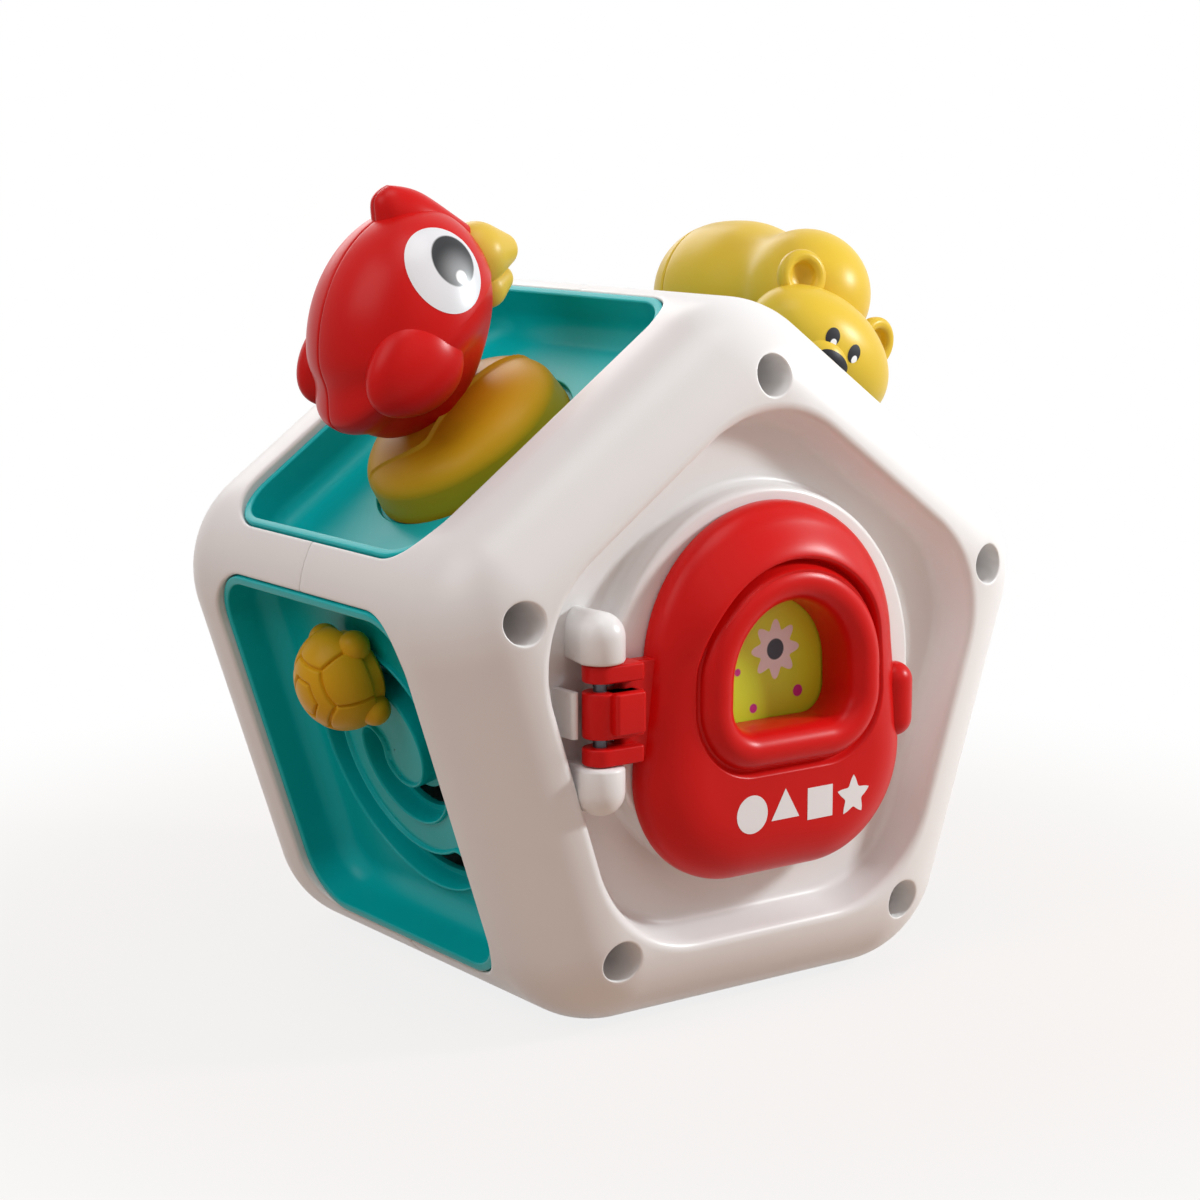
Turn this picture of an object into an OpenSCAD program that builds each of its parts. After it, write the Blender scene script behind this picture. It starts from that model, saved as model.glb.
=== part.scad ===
// Busy cube: a five-sided activity drum for a baby. The case is a rounded pentagonal prism in two
// halves, screwed together at its five long edges. Each side has a window with a moulded tray in it:
// a turning bird, a turning bear, a turtle in a spiral groove, three gears and a plain base tray.
// The front has a hinged door over a picture, and the back a round mirror.
// Millimetres. +Z is up, the door faces -Y and the prism's axis lies along Y. The origin is on the
// ground, under the middle of the case.

/* [Case] */
// Distance from the prism's axis to each side
body_apothem = 72.5; // [70:0.5:75]
// Depth of the case from front to back
body_depth = 129; // [127:1:136]
// Rounding of the five long edges
vertex_r = 26; // [23:0.5:28]
// Rounding round the front and the back
edge_r = 20; // [17:0.5:21]
// Wall of the case
wall = 3; // [2.4:0.1:3.4]
// Distance from a window's end to the sharp corner of the pentagon
window_end_margin = 8.9; // [8.5:0.1:10]
// Distance from a window's side to the front or back of the case
window_side_margin = 24; // [23:0.5:26]
// Corner radius of the windows
window_corner_r = 13; // [10:0.5:16]

/* [Front and back recess] */
// Distance from the axis to the recess's edge at its mouth
recess_mouth = 54; // [52:0.5:55]
// How far the recess's wall slopes in, from mouth to floor
recess_slope = 5.5; // [3:0.5:7]
// Depth of the recess
recess_depth = 9; // [8:0.5:10.5]
// Corner radius of the recess
recess_corner_r = 28; // [24:0.5:30]
// Height of the raised bed that the door or mirror lies on
bed_height = 5.5; // [4:0.25:6]
// How far the bed shows round the door
bed_margin = 8; // [6:0.5:8.5]

/* [Case screws] */
// Distance of a screw's axis inside the sharp corner of the pentagon
screw_inset = 22; // [21.5:0.25:22.5]
// Diameter of the well that a screw's head lies in
well_d = 9; // [8:0.25:9.5]
// Depth of the well
well_depth = 18; // [14:1:22]
// Wall of the tube round a well
well_wall = 1.5; // [1.2:0.1:1.8]
// Outer diameter of the slim post beside the trays
post_d = 6.4; // [5.8:0.1:6.8]
// Diameter of a case screw
screw_d = 3; // [2.6:0.1:3.2]
// Diameter of a case screw's head
screw_head_d = 6; // [5:0.25:7]
// Height of a case screw's head
screw_head_h = 2.4; // [1.8:0.1:3]
// How far a case screw goes into the rear half
screw_bite = 12; // [8:1:18]

/* [Trays] */
// Wall and floor of a tray
tray_wall = 2; // [1.6:0.1:2.2]
// Depth of a tray's floor below the side of the case
tray_depth = 13; // [12:0.25:14]
// Depth of the base tray's floor
base_depth = 7; // [6.5:0.25:8]
// How far a tray's rim lies below the side of the case
rim_drop = 1.8; // [1.6:0.1:2.4]
// Rounding between a tray's floor and its end walls
tray_end_fillet = 6; // [5.5:0.25:7.5]
// Rounding between a tray's floor and its long walls
tray_side_fillet = 5; // [3:0.5:7]
// Reach of the lips that hold a tray behind the case
lip_reach = 3.6; // [3:0.2:4.4]
// Thickness of those lips
lip_t = 2.4; // [1.8:0.1:3]
// Length of those lips
lip_len = 54; // [40:2:58]
// Thickness of the shelf in the case that a lip lies on
shelf_t = 3; // [2:0.2:4]

/* [Door] */
// Half width of the door at its widest
door_half_w = 36; // [34:0.5:37]
// Radius of the door's round top
door_top_r = 31; // [29:0.5:32]
// Height of the centre of that top above the axis
door_top_z = 8; // [6:0.5:9]
// Radius of the door's lower corners
door_foot_r = 25; // [22:0.5:26]
// Depth of the centres of those corners below the axis
door_foot_z = 16; // [14:0.5:17]
// Thickness of the door
door_t = 9.7; // [8:0.1:11]
// Rounding of the door's front edge
door_round = 6.5; // [4:0.5:7.5]
// Wall of the door
door_wall = 2.4; // [2:0.1:3]
// Half width of the door's opening
opening_half_w = 15.3; // [13:0.1:16]
// Height of the centre of the opening's round top above the axis
opening_z = 4.5; // [3:0.5:6]
// Radius of the opening's lower corners
opening_foot_r = 5.8; // [4:0.2:7]
// Height from the opening's sill to the centre of its top
opening_sill = 12.4; // [10:0.2:14]
// Width of the raised ring round the opening
ring_w = 8.2; // [6:0.2:9]
// Height of the ring above the door
ring_h = 2.4; // [1.5:0.1:3]
// Radius of the door's finger pull
pull_r = 4.5; // [4:0.25:5.5]
// Length of the finger pull
pull_len = 17; // [14:0.5:20]
// How far the pull stands out of the door's edge
pull_out = 3; // [2:0.25:4]
// Height of the pull's middle below the axis
pull_drop = 6.5; // [4:0.5:9]

/* [Hinge] */
// Distance of the hinge's axis to the left of the middle
hinge_x = 46; // [45:0.25:48]
// Height of the hinge's axis above the recess floor
hinge_rise = 8.5; // [8:0.25:9]
// Diameter of the round hinge post
hinge_post_d = 12.4; // [11:0.2:13]
// Length of the hinge post
hinge_len = 45; // [40:1:48]
// Height of the gap in the post for the door's arms
hinge_gap = 21.8; // [20:0.2:24]
// Diameter of the hinge pin
pin_d = 3; // [2.4:0.1:3.6]
// How far the pin goes into each end of the post
pin_bite = 7; // [4:0.5:8]
// Radius of the door's arms round the pin
knuckle_r = 4; // [3.4:0.1:4.3]
// Height of the two outer arms
arm_h = 3.7; // [3:0.1:4]
// Height of the middle arm
middle_arm_h = 9.8; // [8:0.2:10.4]

/* [Picture and mirror] */
// Half width of the picture card
card_half_w = 25; // [22:0.5:27]
// Corner radius of the picture card
card_corner_r = 10; // [6:0.5:12]
// Thickness of the picture card
card_t = 1; // [0.6:0.1:1.2]
// Radius of the mirror
mirror_r = 29; // [26:0.5:31]
// Thickness of the mirror
mirror_t = 2; // [1.5:0.1:2.4]
// Width of the ring that holds the mirror
mirror_ring_w = 5; // [4:0.25:6]
// Height of that ring above the bed
mirror_ring_h = 4; // [3:0.25:5]

/* [Turning buns] */
// Radius of the round buns that the bird and the bear sit on
bun_r = 24.5; // [23:0.25:25.5]
// Height of a bun above the side of the case
bun_top = 2; // [0.5:0.25:2.5]

/* [Bird] */
// Half length of the bird's egg-shaped body
bird_half_len = 27.2; // [25:0.2:28]
// Radius of the bird's body
bird_r = 20.5; // [19.5:0.1:21.5]
// Angle that the body's long axis rises towards the beak
bird_tilt = 37; // [32:1:42]
// How far the body's middle lies from the bun's middle towards the beak
bird_lean = 1.3; // [0:0.1:3]
// Height of the middle of the bird's body above the side of the case
bird_rise = 20.3; // [19:0.1:22]
// Height of the crest above the middle of the body
crest_h = 27; // [25:0.25:28]
// How far the beak stands out of the body's middle
beak_reach = 34; // [32:0.25:36]

/* [Bear] */
// Radius of the rear lobe of the bear's body
bear_rear_r = 18.2; // [17.5:0.1:19]
// Radius of the front lobe
bear_front_r = 15.8; // [15:0.1:17]
// Distance between the middles of the two lobes
bear_lobe_gap = 28.7; // [27:0.1:29.5]
// Height of the front lobe's middle above the side of the case
bear_rise = 26; // [25:0.2:27]
// Radius of the bear's head
bear_head_r = 14; // [13:0.25:15]
// Half width of the head
bear_head_half_w = 21; // [19:0.25:22]
// Distance of the head's middle in front of the tray's middle
bear_head_y = 21; // [20:0.25:22]
// Height of the head's middle above the side of the case
bear_head_rise = 10; // [9:0.25:12]
// Radius of an ear
ear_r = 6.3; // [5:0.1:7]

/* [Turtle and spiral] */
// Radius of the spiral's middle line at its inner end
spiral_r0 = 8.3; // [8.2:0.1:9]
// How far the spiral opens out for each radian
spiral_pitch = 2.7; // [2.5:0.05:2.8]
// Angle that the spiral turns through
spiral_turn = 480; // [440:5:490]
// Angle along the spiral where the turtle rests
turtle_angle = 272; // [200:1:300]
// Angle along the spiral where the turtle's foot meets the tray's wall
turtle_stop = 425; // [400:1:425]
// Width of the spiral groove
groove_w = 8.2; // [7.6:0.1:8.4]
// Depth of the groove
groove_depth = 4; // [3:0.1:4.4]
// Wall under and beside the groove
groove_wall = 1.4; // [1.2:0.1:1.6]
// Height and width of the lips along the groove
groove_lip = 0.9; // [0.6:0.1:1.1]
// Diameter of the turtle's stem
stem_d = 4; // [3.4:0.1:4.4]
// Radius of the turtle's shell
turtle_r = 10.5; // [9:0.25:11.5]
// How far the shell is drawn out sideways
turtle_wide = 3; // [1:0.25:4]
// Height of the shell's top above the side of the case
turtle_top = 4.5; // [3:0.25:6]
// Radius of the turtle's feet
turtle_foot_r = 3.6; // [3:0.1:3.8]
// Thickness of the guide arm under the spiral
arm_t = 1.8; // [1.4:0.1:2.2]

/* [Gears] */
// Number of teeth on each gear
gear_teeth = 10; // [10:1:14]
// Pitch radius of a gear
gear_r = 13.5; // [12.5:0.25:14]
// Thickness of a gear
gear_t = 8; // [6:0.25:8.5]
// Extra distance between gear axes, so that the teeth run freely
gear_play = 0.4; // [0.3:0.05:0.6]
// Diameter of the posts that the gears turn on
gear_post_d = 6; // [5:0.25:7]
// Diameter of the caps on those posts
gear_cap_d = 11; // [10:0.25:13]

/* [Pivots and clearances] */
// Diameter of the spindles under the bird and the bear
spindle_d = 8; // [7:0.25:9]
// Radial clearance of a pin or spindle in its bore
run_clear = 0.05; // [0.02:0.01:0.08]
// Clearance between pieces that fit into each other
fit_clear = 0.3; // [0.2:0.05:0.4]
// Diameter of the washers under the trays
washer_d = 18; // [14:0.5:22]
// Thickness of the washers
washer_t = 1.2; // [1:0.1:1.6]
// Diameter of a pivot screw
pivot_screw_d = 3; // [2.6:0.1:3.4]
// Diameter of a pivot screw's head
pivot_head_d = 7; // [6:0.25:8]

/* [Hidden] */
$fn = 64;
hull_fn = 32;
small_fn = 20;
overlap = 0.5;

// The pentagon stands on one side; its sides, and the corners between them, follow every fifth of a turn
side_turn = 360 / 5;
BASE = 270;
LOWER_RIGHT = BASE + side_turn;
UPPER_RIGHT = LOWER_RIGHT + side_turn - 360;
UPPER_LEFT = UPPER_RIGHT + side_turn;
LOWER_LEFT = UPPER_LEFT + side_turn;
corner_angles = [for (i = [0:4]) UPPER_RIGHT + (i - 0.5) * side_turn];
side_angles = [UPPER_RIGHT, UPPER_LEFT, LOWER_LEFT, BASE, LOWER_RIGHT];
half_depth = body_depth / 2;
axis_z = body_apothem;
corner_centre_r = (body_apothem - vertex_r) / cos(side_turn / 2);
window_half_len = body_apothem * tan(side_turn / 2) - window_end_margin;
window_half_w = half_depth - window_side_margin;
screw_circle_r = body_apothem / cos(side_turn / 2) - screw_inset;
well_floor = 2;
cross_w = 0.9;
cross_depth = 1;

// Front and back recess, seen square on: X across, Y up from the axis, Z out of the case
recess_floor = recess_mouth - recess_slope;
bed_top = bed_height - recess_depth;
// Door outline: three circles as [x, z, radius], counter-clockwise
door_circles = [
    [0, door_top_z, door_top_r],
    [door_foot_r - door_half_w, -door_foot_z, door_foot_r],
    [door_half_w - door_foot_r, -door_foot_z, door_foot_r]
];
opening_foot_x = opening_half_w - opening_foot_r;
opening_foot_z = opening_z - opening_sill + opening_foot_r;
opening_circles = [
    [0, opening_z, opening_half_w],
    [-opening_foot_x, opening_foot_z, opening_foot_r],
    [opening_foot_x, opening_foot_z, opening_foot_r]
];
door_back = bed_top + fit_clear;
door_front = door_back + door_t;
// The origin is under the middle of the whole toy, and the door reaches further than the mirror
middle_y = (door_front + ring_h - bed_top - mirror_ring_h) / 2;
pull_lift = 0.6;
pull_z = door_back + pull_r + pull_lift;
pull_x = door_half_w + pull_out - pull_r;
hinge_y = hinge_rise - recess_depth;
arm_play = 0.3;
arm_root = 8;
rib_drop = 1;
pin_short = 0.2;
outer_arm_z = hinge_gap / 2 - arm_play - arm_h;
card_centre_z = opening_z - 2;
card_pocket = card_t + 0.2;
mirror_ring_lap = 2;
mirror_ring_round = 1.5;

// Trays, in the frame of a side: Z is 0 on the side of the case and points out of it
tray_half_len = window_half_len - fit_clear;
tray_half_w = window_half_w - fit_clear;
lip_play = 0.2;
lip_top = -wall - lip_play;
lip_bottom = lip_top - lip_t;
shelf_top = lip_bottom - lip_play / 2;
shelf_gap = 1.6;
shelf_root = 10.5;
shelf_start = tray_half_w + shelf_gap;
shelf_end = half_depth - edge_r + shelf_root;

// Buns turning in a shallow seat in a tray's floor
bun_side = -8;
bun_shoulder = 0.5;
seat_depth = 1.5;
seat_floor_t = 2;
seat_gap = 0.8;
bun_bottom = -tray_depth - seat_depth + fit_clear;
seat_underside = -tray_depth - seat_depth - seat_floor_t;
spindle_reach = 0.4;
spindle_end = seat_underside - spindle_reach;
washer_top = spindle_end;
pivot_head_h = 2;
pivot_screw_bite = 8;
neck_clear = 0.1;

// Bird, facing +X of its side
bird_mid = [bird_lean, 0, bird_rise];
neck_d = 12;
neck_top = bird_rise - 13;
// Balls of the crest, as [x, depth below its top, radius]
crest_balls = [[10.5, 8, 5], [21, 13, 4], [15.5, 2.8, 2.8]];
beak_root = [21.5, 0, -0.5];
beak_root_r = 7.5;
beak_tip_r = 2.6;
beak_tip_drop = 1.6;
lower_beak_drop = 8;
lower_beak_short = 5;
lower_beak_less = 3;
// Balls of a wing, as [x, distance from the seam, height, radius]
wing_balls = [[-14.5, 14.5, -2.8, 8], [-5.5, 15.5, -0.8, 7.5]];
skin_gap = 0.05;

// Bear, facing -Y of its side
bear_front_mid = [0, -5, bear_rise];
bear_rear_mid = bear_front_mid + [0, bear_lobe_gap, -1.6];
bear_cap_y = bear_rear_mid[1] + 5;
bear_head_mid = [0, -bear_head_y, bear_head_rise];
bear_neck_d = 22;
bear_neck_top = bear_rise - 10;
ear_x = 13.9;
ear_up = 12.5;
ear_back = 3;
ear_t = 6;
ear_rim = 2;
ear_hollow = 2;
muzzle_r = 8;
muzzle_out = 1;
muzzle_drop = 2;

// Turtle, modelled facing +Y, with +X away from the spiral's centre
function spiral_r(a) = spiral_r0 + spiral_pitch * a * PI / 180;
function spiral_point(a, r) = r * [-sin(a), cos(a)];
spiral_step = 5;
slot_w = stem_d + 2 * fit_clear;
channel_bottom = -tray_depth - groove_depth - groove_wall;
turtle_base = -tray_depth + groove_lip + fit_clear;
turtle_waist = turtle_base + 4;
turtle_rim = 1.5;
turtle_foot_in = 2.8;
turtle_foot_back = 4;
turtle_head_out = 2;
turtle_head_more = 0.6;
maze_arm_top = channel_bottom - fit_clear;
maze_arm_bottom = maze_arm_top - arm_t;
maze_post_d = 7;
retainer_r = 3.4;
retainer_t = 1.4;
retainer_disc = 1;
maze_post_end = maze_arm_bottom - 0.2;
maze_screw_head_d = 8.4;
maze_screw_head_h = 1.2;
maze_screw_bite = 4.5;
arm_wall = 1.6;
arm_half_w = stem_d / 2 + arm_wall;

// Gears: the middle one meshes with one on each side
gear_module = 2 * gear_r / gear_teeth;
gear_tip_r = gear_r + 0.75 * gear_module;
gear_root_r = gear_r - 1.1 * gear_module;
gear_pressure = 25;
gear_base_r = gear_r * cos(gear_pressure);
gear_backlash = 0.35;
gear_centre_gap = 2 * gear_r + gear_play;
gear_side_gap = 0.6;
gear_side_x = gear_tip_r + gear_side_gap;
gear_side_y = sqrt(gear_centre_gap * gear_centre_gap - gear_side_x * gear_side_x);
gear_places = [[-gear_side_x, gear_side_y / 2], [0, -gear_side_y / 2], [gear_side_x, gear_side_y / 2]];
gear_end_play = 0.2;
gear_bottom = -tray_depth + 2 * gear_end_play;
gear_hub_h = 0.6;
gear_post_top = gear_bottom + gear_t + gear_hub_h + gear_end_play;
gear_hollow = 2;
gear_rim = 1.6;
gear_cap_t = 1.5;
gear_peg_d = gear_post_d / 2;
gear_peg_h = 5;

// Stands children on one side of the case: X along the edge, Y along the axis, Z outwards
module on_side(angle) {
    translate([0, middle_y, axis_z]) rotate([0, 90 - angle, 0]) translate([0, 0, body_apothem])
        children();
}

// Stands children on the front: X across, Y up from the axis, Z out of the case
module on_front() {
    translate([0, middle_y - half_depth, axis_z]) rotate([90, 0, 0]) children();
}

// Turns the front half round into the back half
module to_back() {
    translate([0, 2 * middle_y, 0]) mirror([0, 1, 0]) children();
}

module on_back() {
    to_back() on_front() children();
}

// The places of the five case screws, with Z pointing out of the front
module at_screws() {
    for (a = corner_angles)
        translate([screw_circle_r * cos(a), middle_y, axis_z + screw_circle_r * sin(a)])
            rotate([90, 0, 0]) children();
}

// A round slab with its top edge rounded
module puck(r, round, h, steps = 6) {
    rotate_extrude($fn = hull_fn)
        polygon(concat([[0, 0], [r, 0]],
            [for (i = [0:steps]) let (t = 90 * i / steps)
                [r - round + round * cos(t), h - round + round * sin(t)]],
            [[0, h]]));
}

// The front half of the rounded prism, drawn in by inset; it starts this far behind the middle
module half_prism(inset, start = 0) {
    hull()
        for (a = corner_angles)
            translate([corner_centre_r * cos(a), middle_y + start, axis_z + corner_centre_r * sin(a)])
                rotate([90, 0, 0]) puck(vertex_r - inset, edge_r - inset, half_depth - inset + start);
}

// Unit normal of the straight line that touches two circles on their outer side
function touch_normal(p, q) =
    let (d = [q[0] - p[0], q[1] - p[1]], l = norm(d), u = d / l, k = (p[2] - q[2]) / l)
    k * u + sqrt(1 - k * k) * [u[1], -u[0]];

// The outline stretched round circles given counter-clockwise, grown by grow
module outline(circles, grow = 0) {
    n = len(circles);
    polygon([for (i = [0:n - 1])
        let (p = circles[i], q = circles[(i + 1) % n], t = touch_normal(p, q))
        each [[p[0], p[1]] + (p[2] + grow) * t, [q[0], q[1]] + (q[2] + grow) * t]]);
    for (c = circles)
        translate([c[0], c[1]]) circle(c[2] + grow);
}

function pentagon_circles(apothem, r) =
    [for (a = corner_angles) [(apothem - r) / cos(side_turn / 2) * cos(a), (apothem - r) / cos(side_turn / 2) * sin(a), r]];

module rounded_rect(half_x, half_y, r) {
    outline([for (c = [[1, 1], [-1, 1], [-1, -1], [1, -1]]) [c[0] * (half_x - r), c[1] * (half_y - r), r]]);
}

// A recess with sloping walls, as a solid; grow makes the same form larger on all sides
module recess_form(grow) {
    slope_circles = pentagon_circles(recess_mouth + grow, recess_corner_r + grow);
    floor_circles = pentagon_circles(recess_floor + grow, recess_corner_r - recess_slope + grow);
    hull($fn = hull_fn) {
        linear_extrude(overlap, $fn = hull_fn) outline(slope_circles);
        translate([0, 0, -recess_depth - grow])
            linear_extrude(overlap, $fn = hull_fn) outline(floor_circles);
    }
}

// What both halves of the case share: the hollow half with its windows, recess, bed and shelves
module shell_half() {
    difference() {
        union() {
            difference() {
                half_prism(0);
                half_prism(wall, 1);
            }
            intersection() {
                on_front() recess_form(wall);
                half_prism(wall / 2);
            }
            for (a = side_angles)
                on_side(a) translate([-lip_len / 2, -shelf_end, shelf_top - shelf_t])
                    cube([lip_len, shelf_end - shelf_start, shelf_t]);
            at_screws() cylinder(d = post_d, h = half_depth - wall + overlap);
        }
        on_front() recess_form(0);
        for (a = side_angles)
            on_side(a) translate([0, 0, -wall - 5]) linear_extrude(wall + 10)
                rounded_rect(window_half_len, window_half_w, window_corner_r);
    }
    on_front() translate([0, 0, -recess_depth - overlap]) linear_extrude(bed_height + overlap)
        outline(door_circles, bed_margin);
}

// Front half of the case, with the screw wells, the hinge post and the picture's pocket
module front_shell() {
    color([0.93, 0.92, 0.90]) {
        difference() {
            union() {
                shell_half();
                at_screws() translate([0, 0, half_depth - well_depth - well_floor])
                    cylinder(d = well_d + 2 * well_wall, h = well_depth - wall);
                on_front() hinge_post();
            }
            at_screws() {
                translate([0, 0, half_depth - well_depth]) cylinder(d = well_d, h = well_depth + 1);
                translate([0, 0, -1]) cylinder(d = screw_d + 2 * fit_clear, h = half_depth);
            }
            on_front() {
                hinge_bore();
                hinge_hollow();
                translate([0, card_centre_z, bed_top - card_pocket]) linear_extrude(card_pocket + 1)
                    rounded_rect(card_half_w + fit_clear, card_half_w + fit_clear, card_corner_r + fit_clear);
            }
        }
    }
}

// Rear half of the case, with the screws' pilot holes and the mirror's seat
module rear_shell() {
    color([0.93, 0.92, 0.90]) difference() {
        to_back() shell_half();
        at_screws() translate([0, 0, -screw_bite - 1])
            cylinder(d = screw_d + 2 * run_clear, h = screw_bite + 2);
    }
}

// Five long screws from the front wells into the rear half
module case_screws() {
    head_seat = half_depth - well_depth;
    color([0.72, 0.72, 0.74]) at_screws() {
        translate([0, 0, -screw_bite]) cylinder(d = screw_d, h = head_seat + screw_bite + overlap);
        difference() {
            translate([0, 0, head_seat]) cylinder(d = screw_head_d, h = screw_head_h);
            for (turn = [0, 90])
                rotate([0, 0, turn])
                    translate([-screw_head_d / 3, -cross_w / 2, head_seat + screw_head_h - cross_depth])
                        cube([2 * screw_head_d / 3, cross_w, 2 * cross_depth]);
        }
    }
}

// Round-ended post on the recess floor, with a gap for the door's arms and a low rib behind them
module hinge_post() {
    post_r = hinge_post_d / 2;
    straight = hinge_len - hinge_post_d;
    translate([-hinge_x, 0, hinge_y]) {
        for (end = [1, -1]) {
            straight_h = (straight - hinge_gap) / 2;
            translate([0, end * (hinge_gap + straight_h) / 2, 0]) rotate([90, 0, 0])
                cylinder(r = post_r, h = straight_h, center = true);
            translate([0, end * straight / 2, 0]) sphere(r = post_r);
            translate([-post_r, end > 0 ? hinge_gap / 2 : -straight / 2, -hinge_rise - overlap])
                cube([hinge_post_d, straight_h, hinge_rise + overlap]);
            translate([0, end * straight / 2, -hinge_rise - overlap])
                cylinder(r = post_r, h = hinge_rise + overlap);
        }
        translate([-post_r, -middle_arm_h / 2, -hinge_rise - overlap])
            cube([post_r - knuckle_r - fit_clear, middle_arm_h, hinge_rise + overlap - rib_drop]);
    }
}

module hinge_bore() {
    translate([-hinge_x, 0, hinge_y]) rotate([90, 0, 0])
        cylinder(d = pin_d + 2 * run_clear, h = hinge_gap + 2 * pin_bite, center = true);
}

// Room in the bed for the eyes of the door's arms
module hinge_hollow() {
    translate([-hinge_x, 0, hinge_y]) rotate([90, 0, 0])
        cylinder(r = knuckle_r + fit_clear, h = hinge_gap, center = true);
}

// Steel pin through the hinge post and the door's arms
module hinge_pin() {
    color([0.35, 0.35, 0.37]) on_front() translate([-hinge_x, 0, hinge_y]) rotate([90, 0, 0])
        cylinder(d = pin_d, h = hinge_gap + 2 * pin_bite - pin_short, center = true);
}

// One of the door's arms: an eye round the pin and a bar to the door
module hinge_arm(height, middle) {
    translate([-hinge_x, middle + height / 2, hinge_y]) {
        rotate([90, 0, 0]) cylinder(r = knuckle_r, h = height);
        translate([0, -height, door_back - hinge_y])
            cube([hinge_x - door_half_w + arm_root, height, knuckle_r + hinge_y - door_back]);
    }
}

// Moulded door: a hollow rounded panel with a raised ring round its opening
module door() {
    sleeve = door_wall;
    color([0.80, 0.10, 0.09]) on_front() difference() {
        union() {
            difference() {
                translate([0, 0, door_back]) hull()
                    for (c = door_circles) translate([c[0], c[1]]) puck(c[2], door_round, door_t);
                translate([0, 0, door_back - 1]) hull()
                    for (c = door_circles)
                        translate([c[0], c[1]])
                            puck(c[2] - door_wall, door_round - door_wall, door_t - door_wall + 1);
            }
            translate([0, 0, door_front - door_wall]) hull()
                for (c = opening_circles)
                    translate([c[0], c[1]]) puck(c[2] + ring_w, ring_h, door_wall + ring_h);
            translate([0, 0, door_back]) linear_extrude(door_t) outline(opening_circles, sleeve);
            hinge_arm(middle_arm_h, 0);
            for (end = [1, -1]) hinge_arm(arm_h, end * (outer_arm_z + arm_h / 2));
            translate([pull_x, -pull_drop, pull_z]) rotate([90, 0, 0]) {
                cylinder(r = pull_r, h = pull_len - 2 * pull_r, center = true);
                for (end = [1, -1]) translate([0, 0, end * (pull_len / 2 - pull_r)]) sphere(r = pull_r);
            }
        }
        translate([0, 0, door_back - 1]) linear_extrude(door_t + ring_h + 2) outline(opening_circles);
        hinge_bore();
    }
}

// Printed card in its pocket behind the door
module picture_card() {
    color([0.74, 0.78, 0.18]) on_front() translate([0, card_centre_z, bed_top - card_pocket])
        linear_extrude(card_t) rounded_rect(card_half_w, card_half_w, card_corner_r);
}

// Round safety mirror on the bed at the back, and the ring that holds it
module mirror_disc() {
    color([0.80, 0.84, 0.86]) on_back() translate([0, 0, bed_top]) cylinder(r = mirror_r, h = mirror_t);
}

module mirror_ring() {
    ring_in = mirror_r - mirror_ring_lap;
    round = mirror_ring_round;
    color([0.85, 0.64, 0.10]) on_back() translate([0, 0, bed_top]) rotate_extrude() difference() {
        union() {
            translate([ring_in, 0]) square([mirror_ring_w, mirror_ring_h - round]);
            translate([ring_in + round, 0]) square([mirror_ring_w - 2 * round, mirror_ring_h]);
            for (x = [ring_in + round, ring_in + mirror_ring_w - round])
                translate([x, mirror_ring_h - round]) circle(round);
        }
        translate([0, -1]) square([mirror_r + 2 * run_clear, mirror_t + 1 + run_clear]);
    }
}

// Section of a tray across one direction: straight walls and a floor with rounded corners
module tray_section(half, depth, fillet) {
    translate([-half, -depth + fillet]) square([2 * half, depth - fillet + 1]);
    translate([-half + fillet, -depth]) square([2 * (half - fillet), depth]);
    for (end = [1, -1]) translate([end * (half - fillet), -depth + fillet]) circle(fillet);
}

// The space that a tray's walls enclose, or the tray's own outside
module tray_form(half_len, half_w, corner, depth, end_fillet, side_fillet) {
    intersection() {
        translate([0, 0, -depth - 1]) linear_extrude(depth + 2) rounded_rect(half_len, half_w, corner);
        rotate([90, 0, 0]) linear_extrude(2 * half_w + 2, center = true)
            tray_section(half_len, depth, end_fillet);
        rotate([90, 0, 90]) linear_extrude(2 * half_len + 2, center = true)
            tray_section(half_w, depth, side_fillet);
    }
}

// A tray's outside up to its rim, with the lips behind the case
module tray_outside(depth) {
    end_fillet = min(tray_end_fillet, depth - 1);
    difference() {
        tray_form(tray_half_len, tray_half_w, window_corner_r - fit_clear, depth + tray_wall,
            end_fillet + tray_wall, tray_side_fillet + tray_wall);
        translate([0, 0, 5 - rim_drop]) cube([4 * tray_half_len, 4 * tray_half_w, 10], center = true);
    }
    for (side = [1, -1])
        translate([-lip_len / 2, side > 0 ? tray_half_w - 1 : -tray_half_w - lip_reach, lip_bottom])
            cube([lip_len, lip_reach + 1, lip_t]);
}

module tray_inside(depth) {
    tray_form(tray_half_len - tray_wall, tray_half_w - tray_wall, window_corner_r - fit_clear - tray_wall,
        depth, min(tray_end_fillet, depth - 1), tray_side_fillet);
}

// A tray with a round seat in its floor and a bore for a spindle
module pivot_tray() {
    seat_r = bun_r + seat_gap;
    color([0.0, 0.55, 0.57]) difference() {
        union() {
            tray_outside(tray_depth);
            translate([0, 0, seat_underside])
                cylinder(r = seat_r + tray_wall, h = -tray_depth - seat_underside);
        }
        tray_inside(tray_depth);
        translate([0, 0, -tray_depth - seat_depth]) cylinder(r = seat_r, h = seat_depth + 1);
        translate([0, 0, seat_underside - 1]) cylinder(d = spindle_d + 2 * run_clear, h = seat_floor_t + 2);
    }
}

module bird_tray() {
    on_side(UPPER_LEFT) pivot_tray();
}

module bear_tray() {
    on_side(UPPER_RIGHT) pivot_tray();
}

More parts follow.
